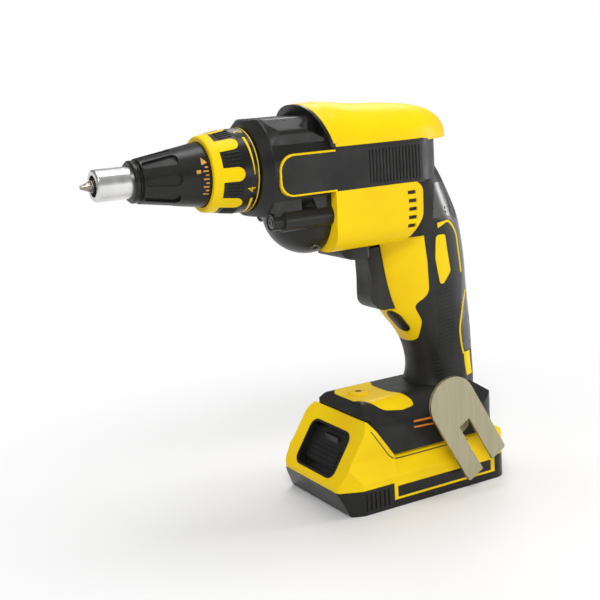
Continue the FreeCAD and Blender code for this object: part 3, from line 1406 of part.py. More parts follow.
def pack_screws():
    """Screws up through the pack's lower case."""
    screws = []
    for y in (-PACK_SCREW_Y, PACK_SCREW_Y):
        head = Part.makeCylinder(PACK_SCREW_HEAD, 2, Vec(PACK_SCREW_X, y, 2))
        screws.append(head.fuse(Part.makeCylinder(PACK_SCREW_RADIUS, 20, Vec(PACK_SCREW_X, y, 3.5))))
    return Part.makeCompound(screws)


def pack_lower_case():
    """Black tray with ribbed pads on its sides."""
    side = slab([(PACK_FOOT_X, 0, 2), (PACK_REAR, 0, 3), (PACK_REAR, PACK_SPLIT_Z),
                 (PACK_FRONT, PACK_SPLIT_Z)], "xz", -PACK_HALF, PACK_HALF)
    body = side.common(slab(pack_plan(), "xy", 0, PACK_SPLIT_Z))
    body = body.cut(skirt(SLIP)).cut(cell_room()).cut(pack_screw_holes())
    grooves = []
    for i in range(GRIP_PAD_RIBS):
        x = GRIP_PAD_FRONT + i * GRIP_PAD_PITCH
        grooves.append(block((x, PACK_HALF - 0.7, 2.5), (x + 1.4, PACK_HALF + 1, PACK_SPLIT_Z - 2)))
    return body.cut(both_sides(Part.makeCompound(grooves)))


def recess_prism(inset, start, end, short=0.0):
    """Rounded prism in the sloping front, between two heights above the slope, less short at its low end."""
    first, last = slope_point(0), slope_point(1)
    length = math.dist(first, last)
    low = length * RECESS_LOW + inset + short
    high = length * RECESS_HIGH - inset
    half = RECESS_HALF - inset
    rounding = RECESS_ROUND - inset
    body = slab([(low, -half, rounding), (high, -half, rounding), (high, half, rounding),
                 (low, half, rounding)], "xy", start, end)
    slope = math.atan2(last[1] - first[1], last[0] - first[0])
    body.rotate(Vec(0, 0, 0), Vec(0, 1, 0), -math.degrees(slope))
    body.translate(Vec(first[0], 0, first[1]))
    return body


def recess_liner():
    """Black frame round the inside of the recess."""
    outside = recess_prism(SLIP, SLIP - RECESS_DEPTH, -RUN)
    return outside.cut(recess_prism(SLIP + LINER_WALL, -RECESS_DEPTH - 1, 1))


def latch_room():
    """Recess in the pack's front for the latch and a fingertip, and the tunnel behind it."""
    pocket = recess_prism(0.0, -RECESS_DEPTH, RECESS_DEPTH)
    half = TOOTH_HALF + MOVE
    tunnel = block((slope_point(0.35, RECESS_DEPTH)[0], -half, ARM_LOW_Z - LATCH_TRAVEL - MOVE),
                   (TOOTH_REAR + MOVE, half, ARM_LOW_Z + ARM_HEIGHT + MOVE))
    window = block((TOOTH_FRONT - LATCH_TRAVEL, -half, ARM_LOW_Z),
                   (TOOTH_REAR + MOVE, half, PACK_NECK_TOP + 1))
    return join([pocket, tunnel, window])


def pack_nose():
    """Front of the pack, from its sloping face to the slanting edge of the foot."""
    low = PACK_SPLIT_Z + SLIP
    top = slope_point(1)
    rear = FOOT_SKIRT_FRONT - MOVE
    side = slab([(PACK_FRONT, low), (PACK_FRONT, PACK_NOSE_Z, 1.5), (top[0], top[1], 1.2), (rear, FOOT_LOW_Z),
                 (rear, low)], "xz", -PACK_HALF, PACK_HALF)
    half = FOOT_HALF + PROUD
    arch = [(PACK_HALF, low), (PACK_HALF, low + 4, 4), (half, FOOT_LOW_Z, 8), (half, FOOT_SIDE_TOP_Z, 8),
            (FOOT_CROWN_HALF, FOOT_TOP_Z, 12)]
    mirrored = [(-p[0],) + p[1:] for p in reversed(arch)]
    return side.common(slab(arch + mirrored, "yz", PACK_FRONT, FOOT_SKIRT_FRONT))


def pack_upper_case():
    """Yellow case with the sloping front, the shoulders and the neck with its grooves."""
    low = PACK_SPLIT_Z + SLIP
    neck_front = FOOT_FRONT + 6
    side = slab([(PACK_FRONT + 6, low), (neck_front, PACK_NECK_TOP), (PACK_NECK_REAR, PACK_NECK_TOP, 1.5),
                 (PACK_NECK_REAR, PACK_SHOULDER_Z), (PACK_REAR, PACK_SHOULDER_Z, 4), (PACK_REAR, low)],
                "xz", -PACK_HALF, PACK_HALF)
    across = slab([(-PACK_HALF, low), (-PACK_HALF, low + 4, 4), (-FOOT_HALF + 2, PACK_SHOULDER_Z, 4),
                   (-NECK_HALF, PACK_SHOULDER_Z), (-NECK_HALF, PACK_NECK_TOP), (NECK_HALF, PACK_NECK_TOP),
                   (NECK_HALF, PACK_SHOULDER_Z), (FOOT_HALF - 2, PACK_SHOULDER_Z, 4), (PACK_HALF, low + 4, 4),
                   (PACK_HALF, low)], "yz", PACK_FRONT, PACK_REAR)
    body = side.common(across).fuse(pack_nose()).common(slab(pack_plan(), "xy", low, FOOT_TOP_Z))
    body = body.fuse(skirt())
    groove = block((RAIL_FRONT - MOVE, NECK_HALF - RAIL_DEPTH, RAIL_LOW_Z),
                   (PACK_NECK_REAR + 1, NECK_HALF + 1, RAIL_LOW_Z + RAIL_HEIGHT))
    width = NECK_HALF - RAIL_DEPTH - 2
    contacts = block((TOOTH_REAR + 4, -width, BOARD_Z),
                     (PACK_NECK_REAR - PACK_WALL, width, PACK_NECK_TOP - PACK_WALL))
    cuts = [both_sides(groove), cell_room(), contacts, latch_room(), pack_screw_holes(), blade_slots()]
    for cut in cuts:
        body = body.cut(cut)
    return body


def blade_slots():
    """Slots in the neck for the terminal blades, open to the rear and the top."""
    slots = []
    for y in TERMINAL_YS:
        half = BLADE_THICKNESS / 2 + 2 * MOVE
        slots.append(block((BLADE_FRONT - 2, y - half, BLADE_LOW_Z - 2),
                           (PACK_NECK_REAR + 1, y + half, PACK_NECK_TOP + 1)))
    return Part.makeCompound(slots)


def cell_places():
    """X of each cell's axis."""
    first = CELL_ROW_X - CELL_PITCH * (CELL_COUNT - 1) / 2
    return [first + CELL_PITCH * i for i in range(CELL_COUNT)]


def battery_cells():
    """Row of round cells across the pack."""
    half = CELL_LENGTH / 2
    return Part.makeCompound([peg(CELL_RADIUS, -half, half, x, CELL_Z) for x in cell_places()])


def cell_holders():
    """Two frames that hold the ends of the cells."""
    reach = CELL_PITCH * (CELL_COUNT - 1) / 2 + CELL_RADIUS + CELL_MARGIN - SLIP
    high = CELL_Z + CELL_RADIUS + 1.5
    frames = []
    for side in (-1, 1):
        inner = side * (CELL_LENGTH / 2 - HOLDER_PLATE)
        outer = side * CELL_LENGTH / 2
        frame = block((CELL_ROW_X - reach, min(inner, outer), CELL_Z - CELL_RADIUS),
                      (CELL_ROW_X + reach, max(inner, outer), high))
        for x in cell_places():
            frame = frame.cut(peg(CELL_RADIUS + RUN, -CELL_LENGTH, CELL_LENGTH, x, CELL_Z))
        frames.append(frame)
    return Part.makeCompound(frames)


def cell_straps():
    """Welded straps that join the cells in series."""
    places = cell_places()
    straps = []
    for side, pairs in ((1, ((0, 1), (2, 3), (4, 4))), (-1, ((0, 0), (1, 2), (3, 4)))):
        inner = side * CELL_LENGTH / 2
        outer = inner + side * STRAP_THICKNESS
        for first, last in pairs:
            straps.append(block((places[first] - 4, min(inner, outer), CELL_Z - 4),
                                (places[last] + 4, max(inner, outer), CELL_Z + 4)))
    return Part.makeCompound(straps)


def pack_board():
    """Circuit board over the cells."""
    reach = CELL_PITCH * (CELL_COUNT - 1) / 2
    return block((CELL_ROW_X - reach, -NECK_HALF + RAIL_DEPTH + 3, BOARD_Z),
                 (CELL_ROW_X + reach, NECK_HALF - RAIL_DEPTH - 3, BOARD_Z + BOARD_THICKNESS))


def pack_terminals():
    """Spring clips on the board, one pair of leaves for each blade."""
    clips = []
    low = BOARD_Z + BOARD_THICKNESS
    for y in TERMINAL_YS:
        half = BLADE_THICKNESS / 2 + MOVE
        outer = half + CLIP_LEAF
        clip = block((BLADE_FRONT + 1, y - outer, low),
                     (BLADE_FRONT + 7, y + outer, PACK_NECK_TOP - PACK_WALL - 1))
        gap = block((BLADE_FRONT, y - half, low + 1), (BLADE_FRONT + 8, y + half, PACK_NECK_TOP))
        clips.append(clip.cut(gap))
    return Part.makeCompound(clips)


def pack_latch():
    """Release latch: a ribbed plate in the recess, and an arm to the tooth that catches the foot."""
    depth = RECESS_DEPTH - SLIP
    face = depth - LATCH_THICKNESS
    length = math.dist(slope_point(0), slope_point(1))
    margin = SLIP + LINER_WALL + MOVE
    half = RECESS_HALF - margin
    low = RECESS_LOW + (margin + LATCH_TRAVEL) / length
    high = RECESS_HIGH - margin / length
    plate = [slope_point(low, depth), slope_point(low, face), slope_point(high, face),
             slope_point(high, depth)]
    plan = recess_prism(margin, -RECESS_DEPTH - 1, 1, LATCH_TRAVEL)
    pieces = [slab(plate, "xz", -half, half).common(plan)]
    for i in range(LATCH_RIBS):
        share = low + 0.03 + 0.07 * i
        rib = [slope_point(share, face + 0.5), slope_point(share, face - 1.2),
               slope_point(share + 0.03, face - 1.2), slope_point(share + 0.03, face + 0.5)]
        pieces.append(slab(rib, "xz", -half + RECESS_ROUND, half - RECESS_ROUND))
    start = slope_point(0.5, depth - 1)[0]
    pieces.append(block((start, -TOOTH_HALF, ARM_LOW_Z), (TOOTH_REAR, TOOTH_HALF, ARM_LOW_Z + ARM_HEIGHT)))
    pieces.append(block((TOOTH_FRONT, -TOOTH_HALF, ARM_LOW_Z), (TOOTH_REAR, TOOTH_HALF, TOOTH_TOP_Z)))
    return join(pieces)


# Belt hook


def hook_frame(shape):
    """Moves a piece drawn upright at the origin to the hook's place and lean."""
    shape.rotate(Vec(0, 0, 0), Vec(0, 1, 0), -HOOK_LEAN)
    shape.translate(Vec(HOOK_CENTRE_X, 0, HOOK_CENTRE_Z))
    return shape


def belt_hook():
    """Steel hook: a flange on the foot, bent out along one edge into a forked plate with a round end."""
    inner_y = -FOOT_HALF - PROUD - SLIP
    outer_y = -PACK_HALF - HOOK_STANDOFF
    half = HOOK_WIDTH / 2
    thick = HOOK_THICKNESS
    rounding = half - RUN
    plate = slab([(-half, half, rounding), (half, half, rounding), (half, -HOOK_LENGTH, 1.5),
                  (-half, -HOOK_LENGTH, 1.5)], "xz", outer_y, outer_y + thick)
    notch = HOOK_NOTCH_WIDTH / 2
    plate = plate.cut(block((-notch, -80, -HOOK_LENGTH - 1), (notch, 0, -HOOK_LENGTH + HOOK_NOTCH_LENGTH)))
    edge = -half - 0.4
    heel = edge + HOOK_WEB_SLANT
    tab = slab([(-notch, outer_y), (edge, outer_y, 2.5), (heel, inner_y, 2.5), (HOOK_FLANGE_END, inner_y),
                (HOOK_FLANGE_END, inner_y - thick), (heel + thick, inner_y - thick, 1),
                (edge + 2 * thick, outer_y + thick, 1), (-notch, outer_y + thick)],
               "xy", HOOK_TAB_LOW, HOOK_TAB_TOP)
    flange = slab([(heel + 3, HOOK_TAB_TOP), (heel + 3, HOOK_FLANGE_LOW, 4),
                   (HOOK_FLANGE_END, HOOK_FLANGE_LOW, 4), (HOOK_FLANGE_END, HOOK_TAB_TOP)],
                  "xz", inner_y - thick, inner_y)
    hole = peg(HOOK_SCREW_RADIUS + RUN, inner_y - 2 * thick, inner_y + thick, HOOK_SCREW_ACROSS,
               -HOOK_SCREW_DOWN)
    return hook_frame(join([plate, tab, flange]).cut(hole))


def hook_screw_place():
    """X and z of the hook's screw."""
    lean = math.radians(HOOK_LEAN)
    x = HOOK_CENTRE_X + HOOK_SCREW_ACROSS * math.cos(lean) + HOOK_SCREW_DOWN * math.sin(lean)
    z = HOOK_CENTRE_Z + HOOK_SCREW_ACROSS * math.sin(lean) - HOOK_SCREW_DOWN * math.cos(lean)
    return x, z


def hook_screw_holes():
    """Threaded holes for the hook on both sides of the foot."""
    x, z = hook_screw_place()
    reach = FOOT_HALF - HOOK_SCREW_REACH
    return both_sides(peg(HOOK_SCREW_RADIUS + RUN, reach, FOOT_HALF + 5, x, z))


def belt_hook_screw():
    """Screw that holds the hook."""
    x, z = hook_screw_place()
    face = -FOOT_HALF - PROUD - SLIP - HOOK_THICKNESS
    head = peg(HOOK_SCREW_HEAD, face - HOOK_SCREW_HEAD_LENGTH, face, x, z)
    return head.fuse(peg(HOOK_SCREW_RADIUS, face - 0.5, -FOOT_HALF + HOOK_SCREW_REACH - 1, x, z))


# All nodes


def nodes():
    """Every piece under its node's name."""
    pieces = {
        "bit": bit(),
        "bit_holder": bit_holder(),
        "holder_magnet": holder_magnet(),
        "nosepiece": nosepiece(),
        "nose_cone": nose_cone(),
        "cone_o_ring": cone_o_ring(),
        "adjusting_sleeve": adjusting_sleeve(),
        "depth_collar": depth_collar(),
        "collar_grip_band": collar_grip_band(),
        "collar_clip": collar_clip(),
        "gear_case": gear_case(),
        "gear_case_screws": gear_case_screws(),
        "gear_case_plate": gear_case_plate(),
        "spindle": spindle(),
        "spindle_front_bush": spindle_front_bush(),
        "spindle_rear_bush": spindle_rear_bush(),
        "thrust_washer": thrust_washer(),
        "clutch_spring": clutch_spring(),
        "drive_gear": drive_gear(),
        "pinion": pinion(),
        "rotor_shaft": rotor_shaft(),
        "rotor_core": rotor_core(),
        "stator_core": stator_core(),
        "stator_coils": stator_coils(),
        "sensor_board": sensor_board(),
        "motor_fan": motor_fan(),
        "motor_front_bearing": motor_bearing(PLATE_FRONT),
        "motor_rear_bearing": motor_bearing(REAR_BEARING_X),
        "housing_screws": housing_screws(),
        "trigger": trigger(),
        "trigger_spring": trigger_spring(),
        "switch_module": switch_module(),
        "direction_lever": direction_lever(),
        "lock_on_button": lock_on_button(),
        "lock_spring": lock_spring(),
        "control_module": control_module(),
        "terminal_block": terminal_block(),
        "work_light": work_light(),
        "belt_hook": belt_hook(),
        "belt_hook_screw": belt_hook_screw(),
        "pack_lower_case": pack_lower_case(),
        "pack_upper_case": pack_upper_case(),
        "pack_latch": pack_latch(),
        "recess_liner": recess_liner(),
        "pack_screws": pack_screws(),
        "battery_cells": battery_cells(),
        "cell_holders": cell_holders(),
        "cell_straps": cell_straps(),
        "pack_board": pack_board(),
        "pack_terminals": pack_terminals(),
    }
    pieces.update(make_housing())
    return pieces


def main():
    """Writes one file for each piece."""
    os.makedirs("parts", exist_ok=True)
    for name, shape in sorted(nodes().items()):
        state = "valid" if shape.isValid() else "INVALID"
        print(name, state, len(shape.Solids), "solids", round(shape.Volume))
        shape.exportStep("parts/" + name + ".step")


main()
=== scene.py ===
import json
import math

import bmesh
import bpy
from mathutils import Matrix, Vector
from mathutils.bvhtree import BVHTree


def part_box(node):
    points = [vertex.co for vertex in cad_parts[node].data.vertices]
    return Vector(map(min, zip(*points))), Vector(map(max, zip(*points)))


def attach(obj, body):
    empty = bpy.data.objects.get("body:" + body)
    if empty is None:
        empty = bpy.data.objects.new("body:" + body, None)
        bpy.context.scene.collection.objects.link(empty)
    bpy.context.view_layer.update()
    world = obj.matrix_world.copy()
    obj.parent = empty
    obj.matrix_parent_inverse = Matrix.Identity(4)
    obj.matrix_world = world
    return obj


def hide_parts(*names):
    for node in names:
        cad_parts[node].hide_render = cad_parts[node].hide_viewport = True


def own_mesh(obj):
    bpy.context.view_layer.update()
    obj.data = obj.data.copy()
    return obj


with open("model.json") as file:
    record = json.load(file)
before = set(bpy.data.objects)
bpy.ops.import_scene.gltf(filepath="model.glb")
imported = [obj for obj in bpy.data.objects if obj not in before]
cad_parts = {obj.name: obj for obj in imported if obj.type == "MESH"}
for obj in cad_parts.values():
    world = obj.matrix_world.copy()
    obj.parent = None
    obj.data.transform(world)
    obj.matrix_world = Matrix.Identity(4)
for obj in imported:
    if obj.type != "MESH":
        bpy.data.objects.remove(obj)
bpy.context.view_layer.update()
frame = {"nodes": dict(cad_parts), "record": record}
NODES = frame["nodes"]

MM = 0.001

# Sizes repeated from the part, in millimetres
AXIS_Z = 198.0
CONE_REAR_RADIUS = 17.1
COLLAR_FRONT = -113.0
COLLAR_REAR = -87.6
COLLAR_RADIUS = 22.5
FINGER_COUNT = 8
VENT_COUNT = 5
VENT_X = -0.4
VENT_BOW = 1.2
VENT_LENGTH = 5.5
VENT_HEIGHT = 2.0
VENT_PITCH = 4.7
VENT_TOP_Z = 178.0
COVER_FRONT = -45.2
COVER_TOP_Z = 230.4
ARCH_LENGTH = 9.0
ARCH_FOOT = 2.5
ARCH_LOW_Z = 207.2
PACK_SLOPE = ((-57.5, 17.4), (-34.8, 52.2))
RECESS_LOW = 0.07
RECESS_HALF = 21.5
LINER_WALL = 1.2
HOUSING_SCREWS = [(-39.0, 198.5), (-8.0, 198.5), (20.0, 198.5), (23.0, 156.0), (51.0, 118.0), (-22.0, 53.6),
                  (54.5, 50.0)]
CASE_SCREW_Y = 20.3
CASE_SCREW_Z = 170.5
PACK_SCREW_X = 54.4
PACK_SCREW_Y = 28.0
SKIRT_FRONT = -23.0
SKIRT_REAR = 50.0

# Camera: what it looks at, its distance in millimetres, its angles in degrees, and its lens
CAMERA_TARGET = (-56.5, 0.0, 121.6)
CAMERA_DISTANCE = 630.5
CAMERA_AZIMUTH = -29.4
CAMERA_ELEVATION = 11.6
CAMERA_ROLL = -3.7
CAMERA_LENS = 67.0

# Colours, linear
YELLOW = (0.95, 0.67, 0.005)
YELLOW_DEEP = (0.92, 0.60, 0.005)
ORANGE = (0.85, 0.24, 0.02)
ORANGE_DEEP = (0.70, 0.16, 0.015)
GOLD = (0.72, 0.36, 0.06)
GOLD_DEEP = (0.55, 0.25, 0.04)
GROOVE_BROWN = (0.16, 0.075, 0.006)
GROOVE_DARK = (0.10, 0.045, 0.004)
BLACK = (0.010, 0.010, 0.0095)
BLACK_SOFT = (0.016, 0.016, 0.015)
RUBBER_BLACK = (0.013, 0.013, 0.0125)
RUBBER_GREY = (0.022, 0.022, 0.021)
CHARCOAL = (0.022, 0.022, 0.020)
CHARCOAL_SOFT = (0.034, 0.034, 0.031)
BRIGHT_STEEL = (0.80, 0.80, 0.79)
BRIGHT_STEEL_DARK = (0.62, 0.62, 0.61)
TOOL_STEEL = (0.36, 0.33, 0.29)
TOOL_STEEL_DARK = (0.20, 0.18, 0.16)
HOOK_STEEL = (0.44, 0.40, 0.27)
HOOK_STEEL_DARK = (0.40, 0.36, 0.24)
SCREW_STEEL = (0.20, 0.20, 0.21)
SCREW_STEEL_DARK = (0.10, 0.10, 0.105)
BRONZE = (0.50, 0.33, 0.16)
BRONZE_DARK = (0.33, 0.21, 0.10)
COPPER = (0.70, 0.33, 0.14)
COPPER_DARK = (0.45, 0.19, 0.08)
BOARD_GREEN = (0.02, 0.16, 0.06)
BOARD_GREEN_DARK = (0.01, 0.10, 0.04)
CELL_BLUE = (0.06, 0.22, 0.42)
CELL_BLUE_DARK = (0.03, 0.14, 0.30)
LENS_BROWN = (0.12, 0.07, 0.02)
LENS_DARK = (0.06, 0.035, 0.01)
# Lighter grey of the strip along the handle's back: a painted sheen over black
SPINE_SHEEN_GREY = (0.055, 0.055, 0.052)
SPINE_SHEEN_DARK = (0.035, 0.035, 0.033)


# Materials

NOISE_MIDDLE = (0.3, 0.7)     # where most of a noise lies
TONE_ENDS = (0.35, 0.65)      # where a noise is fully one tone or the other
GLOSS_SPREAD = 0.18           # share by which the roughness varies
GLOSS_FINENESS = 3            # of the gloss noise against the mottle
GRAIN_DETAIL = 2.0
GRAIN_STRENGTH = 0.6
COAT_ROUGHNESS = 0.12
EDGE_SAMPLES = 4


def add(tree, kind, **inputs):
    """Adds a node and sets those of its inputs that are given by name, with _ for a space."""
    node = tree.nodes.new(kind)
    for name, value in inputs.items():
        node.inputs[name.replace("_", " ")].default_value = value
    return node


def noise(tree, coordinates, scale, detail=4.0):
    """The value of a noise texture."""
    node = add(tree, "ShaderNodeTexNoise", Scale=scale, Detail=detail)
    tree.links.new(coordinates, node.inputs["Vector"])
    return node.outputs["Fac"]


def spread(tree, value, low, high):
    """Maps the middle of a noise onto low to high."""
    first, last = NOISE_MIDDLE
    node = add(tree, "ShaderNodeMapRange", From_Min=first, From_Max=last, To_Min=low, To_Max=high)
    tree.links.new(value, node.inputs["Value"])
    return node.outputs["Result"]


def two_tone(tree, value, first, second):
    """A colour that goes from the first tone to the second as value grows."""
    ramp = tree.nodes.new("ShaderNodeValToRGB")
    for element, position, colour in zip(ramp.color_ramp.elements, TONE_ENDS, (first, second)):
        element.position = position
        element.color = (*colour, 1)
    tree.links.new(value, ramp.inputs["Fac"])
    return ramp.outputs["Color"]


def surface(name, first, second, roughness, mottle, grain, grain_depth, edge=0.35, stretch=(1, 1, 1),
            metallic=0.0, coat=0.0, specular=0.5):
    """A material with two tones, uneven gloss, a fine grain and slightly rounded edges.

    mottle and grain are noise scales per metre, grain_depth and edge are in millimetres, and stretch
    draws the grain out along an axis as brushing does."""
    material = bpy.data.materials.new(name)
    material.use_nodes = True
    tree = material.node_tree
    shader = tree.nodes["Principled BSDF"]
    place = tree.nodes.new("ShaderNodeTexCoord").outputs["Object"]
    drawn = add(tree, "ShaderNodeMapping", Scale=stretch)
    tree.links.new(place, drawn.inputs["Vector"])
    drawn = drawn.outputs["Vector"]
    tree.links.new(two_tone(tree, noise(tree, drawn, mottle), first, second), shader.inputs["Base Color"])
    uneven = noise(tree, drawn, mottle * GLOSS_FINENESS)
    gloss = spread(tree, uneven, roughness * (1 - GLOSS_SPREAD), roughness * (1 + GLOSS_SPREAD))
    tree.links.new(gloss, shader.inputs["Roughness"])
    soft_edge = add(tree, "ShaderNodeBevel", Radius=edge * MM)
    soft_edge.samples = EDGE_SAMPLES
    bump = add(tree, "ShaderNodeBump", Strength=GRAIN_STRENGTH, Distance=grain_depth * MM)
    tree.links.new(noise(tree, drawn, grain, GRAIN_DETAIL), bump.inputs["Height"])
    tree.links.new(soft_edge.outputs["Normal"], bump.inputs["Normal"])
    tree.links.new(bump.outputs["Normal"], shader.inputs["Normal"])
    shader.inputs["Metallic"].default_value = metallic
    shader.inputs["Coat Weight"].default_value = coat
    shader.inputs["Coat Roughness"].default_value = COAT_ROUGHNESS
    shader.inputs["Specular IOR Level"].default_value = specular
    return material


# Looks of the record's slots, and of the marks and the spine with its painted sheen, in the terms of surface
LOOKS = {
    "yellow_plastic": dict(first=YELLOW, second=YELLOW_DEEP, roughness=0.36, mottle=28, grain=2600,
                           grain_depth=0.02, edge=0.7, specular=0.12),
    "black_plastic": dict(first=BLACK, second=BLACK_SOFT, roughness=0.28, mottle=45, grain=1900,
                          grain_depth=0.03, specular=0.28),
    "black_rubber": dict(first=RUBBER_BLACK, second=RUBBER_GREY, roughness=0.42, mottle=60, grain=1500,
                         grain_depth=0.05, specular=0.25),
    "charcoal_plastic": dict(first=CHARCOAL, second=CHARCOAL_SOFT, roughness=0.42, mottle=55, grain=1700,
                             grain_depth=0.04, specular=0.25),
    "case_metal": dict(first=BLACK, second=BLACK_SOFT, roughness=0.32, mottle=50, grain=1400,
                       grain_depth=0.045, edge=0.6, specular=0.32),
    "bright_steel": dict(first=BRIGHT_STEEL, second=BRIGHT_STEEL_DARK, roughness=0.3, mottle=60, grain=900,
                         grain_depth=0.01, stretch=(1, 0.2, 0.2), metallic=1.0),
    "tool_steel": dict(first=TOOL_STEEL, second=TOOL_STEEL_DARK, roughness=0.33, mottle=140, grain=1600,
                       grain_depth=0.015, metallic=1.0),
    "hook_steel": dict(first=HOOK_STEEL, second=HOOK_STEEL_DARK, roughness=0.42, mottle=300, grain=1200,
                       grain_depth=0.012, stretch=(1.6, 1, 0.12), metallic=0.85),
    "screw_steel": dict(first=SCREW_STEEL, second=SCREW_STEEL_DARK, roughness=0.38, mottle=200, grain=2200,
                        grain_depth=0.012, metallic=1.0),
    "bronze": dict(first=BRONZE, second=BRONZE_DARK, roughness=0.45, mottle=150, grain=2500,
                   grain_depth=0.02, metallic=1.0),
    "winding": dict(first=COPPER, second=COPPER_DARK, roughness=0.35, mottle=120, grain=900,
                    grain_depth=0.08, stretch=(0.15, 1, 1), metallic=1.0),
    "circuit_board": dict(first=BOARD_GREEN, second=BOARD_GREEN_DARK, roughness=0.4, mottle=200, grain=1500,
                          grain_depth=0.02),
    "cell_wrap": dict(first=CELL_BLUE, second=CELL_BLUE_DARK, roughness=0.3, mottle=40, grain=900,
                      grain_depth=0.01, coat=0.3),
    "lens": dict(first=LENS_BROWN, second=LENS_DARK, roughness=0.45, mottle=150, grain=800,
                 grain_depth=0.005, specular=0.2),
    "orange_mark": dict(first=ORANGE, second=ORANGE_DEEP, roughness=0.4, mottle=60, grain=1500,
                        grain_depth=0.02),
    "gold_mark": dict(first=GOLD, second=GOLD_DEEP, roughness=0.4, mottle=400, grain=1500,
                      grain_depth=0.02),
    "groove_shade": dict(first=GROOVE_BROWN, second=GROOVE_DARK, roughness=0.6, mottle=300, grain=1500,
                         grain_depth=0.02),
    # the spine's lighter grey is a painted sheen on a glossy strip
    "spine_sheen_plastic": dict(first=SPINE_SHEEN_GREY, second=SPINE_SHEEN_DARK, roughness=0.24, mottle=50, grain=1600,
                          grain_depth=0.03, specular=0.8),
}


def make_materials():
    """One material for each of the looks."""
    return {name: surface(name, **look) for name, look in LOOKS.items()}


def clothe_nodes(materials):
    """Gives every node of the frame the material of its slot."""
    for part in frame["record"]["subparts"]:
        node = NODES[part["node"]]
        node.data.materials.clear()
        node.data.materials.append(materials[part["material_slot"]])


# Drawing on the surfaces of the frame

def tree_of(names):
    """A search tree over the triangles of these nodes."""
    points, faces = [], []
    for name in names:
        mesh = NODES[name].data
        start = len(points)
        points += [v.co.copy() for v in mesh.vertices]
        faces += [[start + i for i in p.vertices] for p in mesh.polygons]
    return BVHTree.FromPolygons(points, faces)


# How far out the rays start, in millimetres
SIDE_START = 200.0
FRONT_START = 400.0
UNDER_START = 200.0
SLOPE_START = 50.0
ROUND_START = 80.0


def side_ray(side):
    """Rays across the tool for points (x, z); side is -1 on the left and 1 on the right."""
    def ray(a, b):
        return Vector((a, side * SIDE_START, b)) * MM, Vector((0, -side, 0))
    return ray


def front_ray(a, b):
    """Rays onto the front of the tool for points (y, z)."""
    return Vector((-FRONT_START, a, b)) * MM, Vector((1, 0, 0))


def under_ray(a, b):
    """Rays up onto the underside for points (x, y)."""
    return Vector((a, b, -UNDER_START)) * MM, Vector((0, 0, 1))


def slope_ray(a, b):
    """Rays onto the pack's sloping front for points (distance up the slope, y)."""
    low, high = (Vector((x, 0, z)) for x, z in PACK_SLOPE)
    along = (high - low).normalized()
    out = Vector((-along.z, 0, along.x))
    return (low + along * a + Vector((0, b, 0)) + out * SLOPE_START) * MM, -out


def round_ray(a, b):
    """Rays towards the spindle axis for points (x, angle), the angle in degrees from +Y towards +Z."""
    out = Vector((0, math.cos(math.radians(b)), math.sin(math.radians(b))))
    return Vector((a, 0, AXIS_Z)) * MM + out * ROUND_START * MM, -out


def landing(tree, ray, a, b, height, reach=0.0):
    """The surface point under (a, b), raised by height millimetres; gaps narrower than reach are bridged."""
    origin, direction = ray(a, b)
    depths = [tree.ray_cast(ray(a + shift, b)[0], direction)[3] for shift in {-reach, 0.0, reach}]
    depths = [depth for depth in depths if depth is not None]
    if not depths:
        raise ValueError(f"nothing lies under {a:.1f}, {b:.1f}")
    return origin + direction * (min(depths) - height * MM)


def resampled(points, step):
    """Points along a line of straight runs, not further apart than step."""
    found = []
    for start, end in zip(points, points[1:]):
        count = max(1, math.ceil(math.dist(start, end) / step))
        found += [tuple(s + (e - s) * i / count for s, e in zip(start, end)) for i in range(count)]
    return found + [points[-1]]


def rounded(points, radius, steps=6):
    """A line of straight runs with its inner corners rounded."""
    line = [points[0]]
    for before, corner, after in zip(points, points[1:], points[2:]):
        to_before, to_after = Vector(before) - Vector(corner), Vector(after) - Vector(corner)
        cut = min(radius, to_before.length / 2, to_after.length / 2)
        first = Vector(corner) + to_before.normalized() * cut
        last = Vector(corner) + to_after.normalized() * cut
        for i in range(steps + 1):
            t = i / steps
            line.append(tuple(first * (1 - t) ** 2 + Vector(corner) * 2 * t * (1 - t) + last * t ** 2))
    return line + [points[-1]]


WELD = 1e-6           # metres within which two points are one
SMOOTH_ANGLE = 35.0   # degrees up to which a bend is smooth


def mesh_object(name, points, faces):
    """A closed mesh whose faces look outwards, smooth where it bends only a little."""
    mesh = bpy.data.meshes.new(name)
    mesh.from_pydata(points, [], faces)
    shape = bmesh.new()
    shape.from_mesh(mesh)
    bmesh.ops.remove_doubles(shape, verts=shape.verts, dist=WELD)
    bmesh.ops.recalc_face_normals(shape, faces=shape.faces)
    for face in shape.faces:
        face.smooth = True
    for edge in shape.edges:
        edge.smooth = len(edge.link_faces) == 2 and edge.calc_face_angle() < math.radians(SMOOTH_ANGLE)
    shape.to_mesh(mesh)
    shape.free()
    thing = bpy.data.objects.new(name, mesh)
    bpy.context.scene.collection.objects.link(thing)
    return thing


SUNK = 0.35           # how far a drawn line reaches into what carries it
ACROSS = (-1.0, -0.8, -0.4, 0.0, 0.4, 0.8, 1.0)
CROWN = (0.0, 0.75, 0.95, 1.0, 0.95, 0.75, 0.0)


def patch(tree, ray, rows, height, reach=0.0):
    """Points and faces of a raised skin on a surface; each row has a start and an end in the ray's terms."""
    points = []
    for start, end in rows:
        spots = [tuple(s + (e - s) * (share + 1) / 2 for s, e in zip(start, end)) for share in ACROSS]
        points += [landing(tree, ray, *spot, height * crown, reach) for spot, crown in zip(spots, CROWN)]
        points += [landing(tree, ray, *spot, -SUNK, reach) for spot in (end, start)]
    ring = len(ACROSS) + 2
    faces = []
    for i in range(len(rows) - 1):
        for j in range(ring):
            k = (j + 1) % ring
            faces.append((i * ring + j, i * ring + k, (i + 1) * ring + k, (i + 1) * ring + j))
    faces.append(tuple(range(ring)))
    faces.append(tuple((len(rows) - 1) * ring + j for j in range(ring)))
    return points, faces


